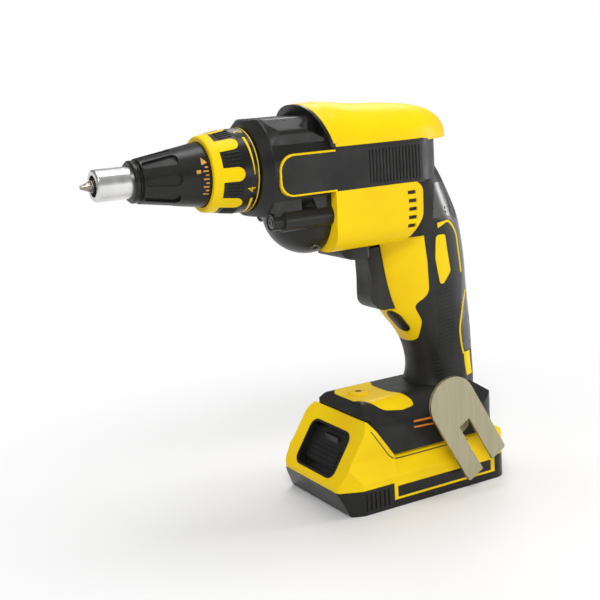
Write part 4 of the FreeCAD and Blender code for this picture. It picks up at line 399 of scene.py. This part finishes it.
def strip(tree, ray, line, widths, height, unit=1.0, step=1.5):
    """Points and faces of a raised line on a surface.

    line is in the ray's two coordinates, widths is its width at each end of the line or one number,
    and unit is the length in millimetres of one step of the second coordinate."""
    line = resampled(line, step)
    first, last = widths if isinstance(widths, tuple) else (widths, widths)
    rows = []
    for i, (a, b) in enumerate(line):
        before, after = line[max(i - 1, 0)], line[min(i + 1, len(line) - 1)]
        along = Vector((after[0] - before[0], (after[1] - before[1]) * unit)).normalized()
        half = (first + (last - first) * i / max(1, len(line) - 1)) / 2
        aside_a, aside_b = along.y * half, along.x * half / unit
        rows.append(((a + aside_a, b - aside_b), (a - aside_a, b + aside_b)))
    return patch(tree, ray, rows, height)


def gathered(name, strips, body, material):
    """One piece made of several strips, riding on a body."""
    points, faces = [], []
    for some_points, some_faces in strips:
        start = len(points)
        points += some_points
        faces += [tuple(start + i for i in face) for face in some_faces]
    piece = mesh_object(name, points, faces)
    piece.data.materials.append(material)
    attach(piece, body)
    return piece


def prism(outline, top):
    """Points and faces of a closed prism between an outline and the same outline moved to top's places."""
    count = len(outline)
    faces = [tuple(range(count)), tuple(count + i for i in range(count))]
    for i in range(count):
        k = (i + 1) % count
        faces.append((i, k, count + k, count + i))
    return list(outline) + list(top), faces


LOZENGE_CORNER = 0.4


def lozenge(low, high, first_y, last_y):
    """Points and faces of a bar with cut corners across the tool, from (x, z) low to high."""
    (left, bottom), (right, top), cut = low, high, LOZENGE_CORNER
    flat = [(left + cut, bottom), (right - cut, bottom), (right, bottom + cut), (right, top - cut),
            (right - cut, top), (left + cut, top), (left, top - cut), (left, bottom + cut)]
    ends = [[Vector((x, y, z)) * MM for x, z in flat] for y in (first_y, last_y)]
    return prism(*ends)


SOCKET_STEPS = 48
SOCKET_RIM = 0.5      # how far a socket's rim stands over the head's own face
SOCKET_LOBES = 6
SOCKET_MEAN = 0.55    # share of the radius at which the lobes lie
SOCKET_WAVE = 0.09    # share of the radius by which they go out and in
SOCKET_TAPER = 0.12   # share of the radius that the rim loses in a millimetre of height


def socket(centre, outward, radius):
    """Points and faces of a six-lobed socket's rim on a screw head, centre in metres."""
    outward = Vector(outward).normalized()
    first = outward.orthogonal().normalized()
    second = outward.cross(first)
    points = []
    for height in (0.0, SOCKET_RIM):
        for inner in (False, True):
            for i in range(SOCKET_STEPS):
                angle = math.tau * i / SOCKET_STEPS
                reach = radius * (1.0 - SOCKET_TAPER * height)
                if inner:
                    reach = radius * (SOCKET_MEAN + SOCKET_WAVE * math.cos(SOCKET_LOBES * angle))
                flat = first * math.cos(angle) + second * math.sin(angle)
                points.append(Vector(centre) + (flat * reach + outward * height) * MM)
    faces = []
    rings = [0, SOCKET_STEPS, 3 * SOCKET_STEPS, 2 * SOCKET_STEPS]
    for i in range(SOCKET_STEPS):
        k = (i + 1) % SOCKET_STEPS
        for a, b in zip(rings, rings[1:] + rings[:1]):
            faces.append((a + i, a + k, b + k, b + i))
    return points, faces


def side_name(side):
    """The word for a side in the names of nodes and pieces."""
    return "left" if side < 0 else "right"


# Springs

COIL_STEPS = 28       # points along one turn
WIRE_STEPS = 10
CLOSED_TURN = 0.6     # part of a turn that lies flat at each end
# Node, joint that presses it, turns, and the wire in millimetres
SPRINGS = [("clutch_spring", "clutch_press", 3.5, 1.1), ("trigger_spring", "trigger_slide", 5.5, 0.8),
           ("lock_spring", "lock_slide", 3.5, 0.6)]


def make_spring(node, joint, turns, wire, material):
    """A wound spring in a node's place; the joint argument, which names what presses it towards its rear end,
    is not used.
    """
    low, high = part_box(node)
    middle = (low + high) / 2
    half_wire = wire * MM / 2
    radius = (high.y - low.y) / 2 - half_wire
    points, faces = [], []
    count = int(turns * COIL_STEPS)
    for i in range(count + 1):
        turned = i / COIL_STEPS
        rise = min(max((turned - CLOSED_TURN) / (turns - 2 * CLOSED_TURN), 0.0), 1.0)
        x = low.x + half_wire + (high.x - low.x - wire * MM) * rise
        out = Vector((0, math.cos(math.tau * turned), math.sin(math.tau * turned)))
        for j in range(WIRE_STEPS):
            angle = math.tau * j / WIRE_STEPS
            points.append(Vector((x + half_wire * math.sin(angle), middle.y, middle.z))
                          + out * (radius + half_wire * math.cos(angle)))
    for i in range(count):
        here, there = i * WIRE_STEPS, (i + 1) * WIRE_STEPS
        for j in range(WIRE_STEPS):
            k = (j + 1) % WIRE_STEPS
            faces.append((here + j, here + k, there + k, there + j))
    faces.append(tuple(range(WIRE_STEPS)))
    faces.append(tuple(count * WIRE_STEPS + j for j in range(WIRE_STEPS)))
    piece = gathered(f"{node}_coil", [(points, faces)], "housing", material)
    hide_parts(node)
    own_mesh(piece)


# Handle, head and foot

PIPING_UPPER = [(31.0, 157.0), (34.5, 157.6), (39.5, 153.0), (42.5, 148.0), (44.5, 137.3),
                (46.4, 124.7)]
PIPING_LOWER = [(50.5, 113.0), (46.5, 104.0), (42.5, 91.0), (43.4, 82.0), (45.0, 75.0)]
WEDGE_LINE = [(48.2, 75.8), (48.9, 61.5)]
PIPING_TAB = [(25.8, 155.6), (32.0, 157.2)]
PIPING_WIDTH = 1.4
PIPING_HEIGHT = 0.3
PIPING_ROUND = 4.0
TAB_WIDTH = 3.4
WEDGE_WIDTH = 6.0


def make_piping(material):
    """Yellow lines along the back of the handle, with the tab above and the wedge below."""
    for side in (-1, 1):
        tree = tree_of([f"grip_{side_name(side)}", f"housing_{side_name(side)}"])
        ray = side_ray(side)
        strips = [strip(tree, ray, rounded(line, PIPING_ROUND), PIPING_WIDTH, PIPING_HEIGHT)
                  for line in (PIPING_UPPER, PIPING_LOWER)]
        strips.append(strip(tree, ray, WEDGE_LINE, WEDGE_WIDTH, PIPING_HEIGHT))
        strips.append(strip(tree, ray, PIPING_TAB, (TAB_WIDTH, PIPING_WIDTH), PIPING_HEIGHT))
        gathered(f"handle_piping_{side_name(side)}", strips, "housing", material)


SPINE_FRONT = [(22.6, 181.0), (22.0, 170.0), (22.2, 160.5), (35.5, 157.3), (40.3, 153.5), (43.3, 148.0),
               (45.3, 137.3), (47.1, 124.7), (46.5, 112.0), (44.6, 100.0), (43.3, 91.0), (44.2, 82.0),
               (45.8, 76.5)]
SPINE_MARGIN = 1.6        # from the spine's rear edge to the outline of the handle
SPINE_HEIGHT = 0.1
SPINE_STEP = 3.0
OUTLINE_STEP = 0.5
SEAM_LINE = [(21.6, 158.5), (21.3, 168.0), (22.0, 181.5)]
SEAM_ROUND = 4.0
SEAM_WIDTH = 0.5
SEAM_HEIGHT = 0.02


def rear_outline(tree, ray, x, z):
    """Where the handle's outline lies behind x at height z."""
    while tree.ray_cast(*ray(x, z))[0] is not None:
        x += OUTLINE_STEP
    return x


def make_spine_sheen(material, seam):
    """Glossy strip along the back of the handle, its lighter grey a painted sheen, and the seam above it."""
    for side in (-1, 1):
        tree = tree_of([f"grip_{side_name(side)}", f"housing_{side_name(side)}"])
        ray = side_ray(side)
        rows = []
        for x, z in resampled(SPINE_FRONT, SPINE_STEP):
            rows.append(((x, z), (rear_outline(tree, ray, x, z) - SPINE_MARGIN, z)))
        gathered(f"handle_spine_sheen_{side_name(side)}", [patch(tree, ray, rows, SPINE_HEIGHT)], "housing",
                 material)
        line = strip(tree, ray, rounded(SEAM_LINE, SEAM_ROUND), SEAM_WIDTH, SEAM_HEIGHT)
        gathered(f"handle_seam_{side_name(side)}", [line], "housing", seam)


BROW_STEPS = 48
BROW_START = 21.0         # degrees above the middle of the spindle at which the brow ends
BROW_RIM = 2.0            # black left showing at the arch's front
BROW_HEIGHT = 0.35
BROW_LAP = 1.2            # over the joint with the cover
BROW_GAP = 0.6            # widest joint that it bridges
BROW_PROBE = 1.0          # how far before the cover the height of the arch is read


def make_brow(material):
    """Yellow skin that carries the cover's colour forward over the arch of the gear case."""
    tree = tree_of(["gear_case", "housing_left", "housing_right"])
    rows = []
    for i in range(BROW_STEPS + 1):
        angle = BROW_START + (180 - 2 * BROW_START) * i / BROW_STEPS
        z = landing(tree, round_ray, COVER_FRONT - BROW_PROBE, angle, 0).z / MM
        share = (z - ARCH_LOW_Z) / (COVER_TOP_Z - ARCH_LOW_Z)
        front = COVER_FRONT - ARCH_FOOT - (ARCH_LENGTH - ARCH_FOOT) * share + BROW_RIM
        rows.append(((front, angle), (COVER_FRONT + BROW_LAP, angle)))
    skin = patch(tree, round_ray, rows, BROW_HEIGHT, BROW_GAP)
    gathered("cover_brow", [skin], "housing", material)


BAND_EDGES = [[(-45.0, 206.6), (13.0, 206.6)], [(8.5, 183.3), (18.0, 183.3)]]
BAND_EDGE_WIDTH = 1.5
BAND_EDGE_HEIGHT = 0.12


def make_band_edges(material):
    """Rolled rubber edges of the band on each side of the head."""
    for side in (-1, 1):
        tree = tree_of([f"grip_{side_name(side)}", f"housing_{side_name(side)}"])
        strips = [strip(tree, side_ray(side), line, BAND_EDGE_WIDTH, BAND_EDGE_HEIGHT) for line in BAND_EDGES]
        gathered(f"band_edges_{side_name(side)}", strips, "housing", material)


HANDLE_RIB_Z = (66.0, 121.0)
HANDLE_RIB_PITCH = 2.4
HANDLE_RIB_LENGTH = 11.0
HANDLE_RIB_WIDTH = 1.1
HANDLE_RIB_HEIGHT = 0.28
HANDLE_RIB_TILT = 0.6     # rise of each half of a rib
HANDLE_RIB_X = 30.0
HANDLE_RIB_SWAY = 3.0     # of the row of ribs, round HANDLE_RIB_X
HANDLE_SWAY_Z = 95.0
HANDLE_SWAY_LENGTH = 18.0


def make_handle_ribs(material):
    """Fine cross ribs on the flanks of the handle."""
    count = int((HANDLE_RIB_Z[1] - HANDLE_RIB_Z[0]) / HANDLE_RIB_PITCH)
    for side in (-1, 1):
        tree = tree_of([f"grip_{side_name(side)}"])
        strips = []
        for i in range(count):
            z = HANDLE_RIB_Z[0] + i * HANDLE_RIB_PITCH
            middle = HANDLE_RIB_X + HANDLE_RIB_SWAY * math.cos((z - HANDLE_SWAY_Z) / HANDLE_SWAY_LENGTH)
            line = [(middle + end * HANDLE_RIB_LENGTH / 2, z + end * HANDLE_RIB_TILT) for end in (-1, 1)]
            strips.append(strip(tree, side_ray(side), line, HANDLE_RIB_WIDTH, HANDLE_RIB_HEIGHT))
        gathered(f"handle_ribs_{side_name(side)}", strips, "housing", material)


VENT_DEPTH = 0.9      # from the panel's surface to the painted shade in a slot
VENT_BACK = 3.0       # how far that painted shade goes on inwards


def make_vent_shade(material):
    """Black boxes in the slots over the fan, as painted shade inside them."""
    for side in (-1, 1):
        tree = tree_of([f"housing_{side_name(side)}"])
        shade_boxes = []
        for i in range(VENT_COUNT):
            z = VENT_TOP_Z - i * VENT_PITCH
            start = VENT_X + VENT_BOW * math.sin(math.pi * (i + 0.5) / VENT_COUNT)
            edges = [landing(tree, side_ray(side), start + VENT_LENGTH / 2, z + up * VENT_HEIGHT, 0).y / MM
                     for up in (-1, 1)]
            outer = side * (min(abs(y) for y in edges) - VENT_DEPTH)
            low, high = (start, z - VENT_HEIGHT / 2), (start + VENT_LENGTH, z + VENT_HEIGHT / 2)
            # each black box stands in for the shade inside a slot
            shade_boxes.append(lozenge(low, high, outer, outer - side * VENT_BACK))
        gathered(f"vent_shade_{side_name(side)}", shade_boxes, "housing", material)


FOOT_MARKS = [[(-4.3, 46.3), (8.7, 46.0)], [(-4.5, 43.1), (9.5, 42.4)]]
FOOT_MARK_WIDTH = 1.1
FOOT_MARK_HEIGHT = 0.15


def make_foot_marks(material):
    """Two orange lines on each side of the foot."""
    for side in (-1, 1):
        tree = tree_of([f"grip_{side_name(side)}", f"housing_{side_name(side)}"])
        strips = [strip(tree, side_ray(side), line, FOOT_MARK_WIDTH, FOOT_MARK_HEIGHT) for line in FOOT_MARKS]
        gathered(f"foot_marks_{side_name(side)}", strips, "housing", material)


# Depth collar and cone

PAD_RIBS = 4
PAD_RIB_PITCH = 5.2       # degrees
PAD_RIB_ENDS = (COLLAR_FRONT + 7.6, COLLAR_FRONT + 15.4)
PAD_RIB_WIDTH = 1.0
PAD_RIB_HEIGHT = 0.45
COLLAR_UNIT = math.radians(1) * COLLAR_RADIUS     # millimetres round the collar in one degree
NUMBER_COUNT = 4
NUMBER_SIZE = 6.4
NUMBER_X = COLLAR_REAR - 4.9
NUMBER_START = 112.5      # degrees, the pad that carries the first number
NUMBER_CURVE_STEPS = 6
NUMBER_GROWTH = 2         # from one number to the next
MARK_HEIGHT = 0.1
RING_X = COLLAR_REAR - 0.9
RING_WIDTH = 0.8
RING_STEP = 4.0           # degrees
ARC_X = (COLLAR_REAR - 4.2, COLLAR_REAR - 3.4)
ARC_TURN = (14.0, 70.0)   # degrees after a number
ARC_WIDTHS = (1.7, 0.5)
ARC_STEP = 3.0            # degrees


def make_collar_ribs(material):
    """Fine ribs along each pad between the fingers of the collar."""
    tree = tree_of(["depth_collar"])
    ribs = []
    for pad in range(FINGER_COUNT):
        for i in range(PAD_RIBS):
            angle = (pad + 0.5) * 360.0 / FINGER_COUNT + (i - (PAD_RIBS - 1) / 2) * PAD_RIB_PITCH
            line = [(x, angle) for x in PAD_RIB_ENDS]
            ribs.append(strip(tree, round_ray, line, PAD_RIB_WIDTH, PAD_RIB_HEIGHT, COLLAR_UNIT))
    gathered("collar_ribs", ribs, "depth_collar", material)


def number(tree, words, x, angle, size):
    """Points and faces of a plain number on the collar, its top towards the front."""
    letters = bpy.data.curves.new("number", "FONT")
    letters.body = words
    letters.size = size
    letters.align_x = "CENTER"
    letters.align_y = "CENTER"
    letters.extrude = MARK_HEIGHT
    letters.resolution_u = NUMBER_CURVE_STEPS
    thing = bpy.data.objects.new("number", letters)
    mesh = bpy.data.meshes.new_from_object(thing)
    points = []
    for corner in mesh.vertices:
        height = MARK_HEIGHT if corner.co.z > 0 else -SUNK
        points.append(landing(tree, round_ray, x - corner.co.y, angle - corner.co.x / COLLAR_UNIT, height))
    faces = [tuple(face.vertices) for face in mesh.polygons]
    bpy.data.objects.remove(thing)
    bpy.data.curves.remove(letters)
    bpy.data.meshes.remove(mesh)
    return points, faces


def make_collar_marks(material):
    """Ring line, tapered arcs and plain numbers on the black rear part of the collar."""
    tree = tree_of(["depth_collar", "collar_grip_band"])
    ring = [(RING_X, -180.0), (RING_X, 180.0)]
    marks = [strip(tree, round_ray, ring, RING_WIDTH, MARK_HEIGHT, COLLAR_UNIT, RING_STEP)]
    for i in range(NUMBER_COUNT):
        angle = NUMBER_START + i * 360.0 / NUMBER_COUNT
        arc = [(x, angle + turn) for x, turn in zip(ARC_X, ARC_TURN)]
        marks.append(strip(tree, round_ray, arc, ARC_WIDTHS, MARK_HEIGHT, COLLAR_UNIT, ARC_STEP))
        marks.append(number(tree, str(NUMBER_GROWTH * (i + 1)), NUMBER_X, angle, NUMBER_SIZE))
    gathered("collar_marks", marks, "depth_collar", material)


CONE_UNIT = math.radians(1) * CONE_REAR_RADIUS
TICK_END = COLLAR_FRONT - 1.6
TICK_COUNT = 8
TICK_START = 163.0        # degrees
TICK_PITCH = 7.0
TICK_LENGTHS = (1.8, 3.0)
TICK_WIDTH = 0.8
POINTER_LINE = [(-117.2, 145.0), (-116.2, 157.0)]
POINTER_WIDTHS = (0.4, 3.4)
POINTER_STEP = 3.0
BAR_LINE = [(-121.0, 170.0), (-118.6, 170.0)]
BAR_WIDTH = 2.0


def make_cone_marks(material):
    """Pointer, bar and a row of plain ticks at the rear of the cone."""
    tree = tree_of(["nose_cone"])
    marks = [strip(tree, round_ray, POINTER_LINE, POINTER_WIDTHS, MARK_HEIGHT, CONE_UNIT, POINTER_STEP),
             strip(tree, round_ray, BAR_LINE, BAR_WIDTH, MARK_HEIGHT, CONE_UNIT)]
    for i in range(TICK_COUNT):
        angle = TICK_START + i * TICK_PITCH
        tick = [(TICK_END - TICK_LENGTHS[i % 2], angle), (TICK_END, angle)]
        marks.append(strip(tree, round_ray, tick, TICK_WIDTH, MARK_HEIGHT, CONE_UNIT))
    gathered("cone_marks", marks, "nose", material)


# Screws

DOME_SCREW = (-53.0, 153.0)
DOME_SCREW_RADIUS = 2.4
CASE_SOCKET = 2.2
HOOK_SOCKET = 3.4
HOUSING_SOCKET = 2.6
PACK_SOCKET = 2.0


def socket_on(names, ray, a, b, radius):
    """A socket's rim where a ray meets one of these nodes, square to it."""
    tree = tree_of(names)
    place, normal, _, _ = tree.ray_cast(*ray(a, b))
    return socket(place, normal, radius)


def make_sockets(material):
    """Sockets in the screw heads that show, and the small screw low on each side of the gear case."""
    rims = []
    for side in (-1, 1):
        case_screw = (side * CASE_SCREW_Y, CASE_SCREW_Z)
        rims.append(socket_on(["gear_case_screws"], front_ray, *case_screw, CASE_SOCKET))
        rims.append(socket_on(["gear_case"], side_ray(side), *DOME_SCREW, DOME_SCREW_RADIUS))
    for x, z in HOUSING_SCREWS:
        rims.append(socket_on(["housing_screws"], side_ray(1), x, z, HOUSING_SOCKET))
    low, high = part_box("belt_hook_screw")
    middle = (low + high) / 2 / MM
    rims.append(socket_on(["belt_hook_screw"], side_ray(-1), middle.x, middle.z, HOOK_SOCKET))
    gathered("housing_sockets", rims, "housing", material)
    rims = [socket_on(["pack_screws"], under_ray, PACK_SCREW_X, side * PACK_SCREW_Y, PACK_SOCKET)
            for side in (-1, 1)]
    gathered("pack_sockets", rims, "battery", material)


# Pack

LABEL_Z = 9.2
LABEL_HEIGHT = 6.6
LABEL_ENDS = (SKIRT_FRONT + 2.4, SKIRT_REAR - 3.0)
PACK_GROOVE = [(-34.2, 46.7), (-20.8, 27.0), (34.0, 27.0)]
GROOVE_ROUND = 5.0
GROOVE_WIDTH = 0.7
GROOVE_HEIGHT = 0.06
RECESS_FLOOR_LENGTH = 7.5     # of the dark floor at the low end of the recess, up the slope
RECESS_FLOOR_ROUND = 4.0
RECESS_FLOOR_HEIGHT = 0.25
RECESS_FLOOR_STEPS = 8


def make_recess_floor(material):
    """Dark floor at the low end of the release recess."""
    tree = tree_of(["pack_upper_case"])
    low, high = PACK_SLOPE
    start = math.dist(low, high) * RECESS_LOW + LINER_WALL
    half = RECESS_HALF - LINER_WALL
    rows = []
    for i in range(RECESS_FLOOR_STEPS + 1):
        up = RECESS_FLOOR_LENGTH * i / RECESS_FLOOR_STEPS
        inset = max(0.0, RECESS_FLOOR_ROUND - up) ** 2 / (2 * RECESS_FLOOR_ROUND)
        rows.append(((start + up, -half + inset), (start + up, half - inset)))
    skin = patch(tree, slope_ray, rows, RECESS_FLOOR_HEIGHT)
    gathered("recess_floor", [skin], "battery", material)


def make_pack_details(label, groove):
    """Bare label plates on the skirts and the thin groove beside the foot."""
    tree = tree_of(["pack_upper_case"])
    for side in (-1, 1):
        ray = side_ray(side)
        plate = strip(tree, ray, [(x, LABEL_Z) for x in LABEL_ENDS], LABEL_HEIGHT, MARK_HEIGHT)
        gathered(f"pack_label_{side_name(side)}", [plate], "battery", label)
        line = strip(tree, ray, rounded(PACK_GROOVE, GROOVE_ROUND), GROOVE_WIDTH, GROOVE_HEIGHT)
        gathered(f"pack_groove_{side_name(side)}", [line], "battery", groove)


# Stage, lights and camera, in metres

FLOOR_RADIUS = 30.0
FLOOR_SIDES = 96
FLOOR_COLOUR = (0.86, 0.86, 0.86, 1)
FLOOR_ROUGHNESS = 0.7
FADE_START = 0.09         # distances from the origin at which the floor starts and ends to fade to white
FADE_END = 0.34
WHITE = (1, 1, 1, 1)
WORLD_STRENGTH = 0.28
LAMP_TARGET = (-0.03, 0.0, 0.12)
# Place, size and watts of each lamp
LAMPS = {
    "key": ((-0.55, -0.75, 0.95), (0.5, 0.4), 8.0),
    "top": ((0.05, 0.1, 1.1), (0.8, 0.35), 5.0),
    "right": ((0.9, -0.3, 0.2), (0.2, 0.7), 4.5),
    "rear": ((0.6, 0.8, 0.9), (0.5, 0.5), 2.5),
    "sheen": ((0.45, -0.95, 0.2), (0.1, 0.34), 0.7),
}
SENSOR_WIDTH = 36.0       # millimetres, as the lens
NEAREST_SEEN = 0.01


def make_stage():
    """A wide pale floor that fades to white away from the tool."""
    bpy.ops.mesh.primitive_circle_add(vertices=FLOOR_SIDES, radius=FLOOR_RADIUS, fill_type="NGON")
    floor = bpy.context.object
    floor.name = "floor"
    material = bpy.data.materials.new("floor")
    material.use_nodes = True
    tree = material.node_tree
    shader = tree.nodes["Principled BSDF"]
    shader.inputs["Base Color"].default_value = FLOOR_COLOUR
    shader.inputs["Roughness"].default_value = FLOOR_ROUGHNESS
    place = tree.nodes.new("ShaderNodeTexCoord").outputs["Object"]
    length = tree.nodes.new("ShaderNodeVectorMath")
    length.operation = "LENGTH"
    tree.links.new(place, length.inputs[0])
    away = add(tree, "ShaderNodeMapRange", From_Min=FADE_START, From_Max=FADE_END, To_Min=0.0, To_Max=1.0)
    away.interpolation_type = "SMOOTHSTEP"
    tree.links.new(length.outputs["Value"], away.inputs["Value"])
    path = tree.nodes.new("ShaderNodeLightPath")
    seen = tree.nodes.new("ShaderNodeMath")
    seen.operation = "MAXIMUM"
    tree.links.new(path.outputs["Is Camera Ray"], seen.inputs[0])
    tree.links.new(path.outputs["Is Glossy Ray"], seen.inputs[1])
    share = tree.nodes.new("ShaderNodeMath")
    share.operation = "MULTIPLY"
    tree.links.new(away.outputs["Result"], share.inputs[0])
    tree.links.new(seen.outputs["Value"], share.inputs[1])
    white = add(tree, "ShaderNodeEmission", Color=WHITE, Strength=1.0)
    mixed = tree.nodes.new("ShaderNodeMixShader")
    tree.links.new(share.outputs["Value"], mixed.inputs["Fac"])
    tree.links.new(shader.outputs["BSDF"], mixed.inputs[1])
    tree.links.new(white.outputs["Emission"], mixed.inputs[2])
    tree.links.new(mixed.outputs["Shader"], tree.nodes["Material Output"].inputs["Surface"])
    floor.data.materials.append(material)


def soft_box(name, place, target, size, power):
    """A rectangular lamp that looks at target."""
    lamp = bpy.data.lights.new(name, "AREA")
    lamp.shape = "RECTANGLE"
    lamp.size, lamp.size_y = size
    lamp.energy = power
    thing = bpy.data.objects.new(name, lamp)
    thing.location = place
    thing.rotation_euler = (Vector(target) - Vector(place)).to_track_quat("-Z", "Y").to_euler()
    bpy.context.scene.collection.objects.link(thing)


def make_lights():
    """The lamps, and an even world that the camera sees as white."""
    for name, (place, size, power) in LAMPS.items():
        soft_box(name, place, LAMP_TARGET, size, power)
    world = bpy.data.worlds.new("studio")
    bpy.context.scene.world = world
    world.use_nodes = True
    tree = world.node_tree
    ground = tree.nodes["Background"]
    ground.inputs["Color"].default_value = WHITE
    ground.inputs["Strength"].default_value = WORLD_STRENGTH
    white = add(tree, "ShaderNodeBackground", Color=WHITE, Strength=1.0)
    path = tree.nodes.new("ShaderNodeLightPath")
    mixed = tree.nodes.new("ShaderNodeMixShader")
    tree.links.new(path.outputs["Is Camera Ray"], mixed.inputs["Fac"])
    tree.links.new(ground.outputs["Background"], mixed.inputs[1])
    tree.links.new(white.outputs["Background"], mixed.inputs[2])
    tree.links.new(mixed.outputs["Shader"], tree.nodes["World Output"].inputs["Surface"])


def make_camera():
    """The camera at the photograph's viewing angle."""
    azimuth, elevation, roll = (math.radians(v) for v in (CAMERA_AZIMUTH, CAMERA_ELEVATION, CAMERA_ROLL))
    back = Vector((math.sin(azimuth) * math.cos(elevation), -math.cos(azimuth) * math.cos(elevation),
                   math.sin(elevation)))
    right = Vector((math.cos(azimuth), math.sin(azimuth), 0))
    up = back.cross(right)
    turned_right = right * math.cos(roll) + up * math.sin(roll)
    turned_up = up * math.cos(roll) - right * math.sin(roll)
    lens = bpy.data.cameras.new("camera")
    lens.sensor_width = SENSOR_WIDTH
    lens.lens = CAMERA_LENS
    lens.clip_start = NEAREST_SEEN
    camera = bpy.data.objects.new("camera", lens)
    turn = Matrix((turned_right, turned_up, back)).transposed().to_4x4()
    camera.matrix_world = Matrix.Translation((Vector(CAMERA_TARGET) + back * CAMERA_DISTANCE) * MM) @ turn
    bpy.context.scene.collection.objects.link(camera)
    bpy.context.scene.camera = camera


def main():
    """Dresses the frame, adds the pieces and sets the stage."""
    materials = make_materials()
    clothe_nodes(materials)
    # the spine strip's lighter grey is a painted sheen
    make_spine_sheen(materials["spine_sheen_plastic"], materials["black_plastic"])
    make_brow(materials["yellow_plastic"])
    make_band_edges(materials["black_rubber"])
    make_recess_floor(materials["black_plastic"])
    make_sockets(materials["screw_steel"])
    make_piping(materials["yellow_plastic"])
    make_handle_ribs(materials["black_rubber"])
    # black boxes paint the shade in the vent slots
    make_vent_shade(materials["black_plastic"])
    make_foot_marks(materials["orange_mark"])
    make_collar_ribs(materials["black_plastic"])
    make_collar_marks(materials["yellow_plastic"])
    make_cone_marks(materials["gold_mark"])
    make_pack_details(materials["black_plastic"], materials["groove_shade"])
    for spring in SPRINGS:
        make_spring(*spring, materials["bright_steel"])
    make_stage()
    make_lights()
    make_camera()


bpy.context.scene.view_settings.view_transform = "Standard"
main()
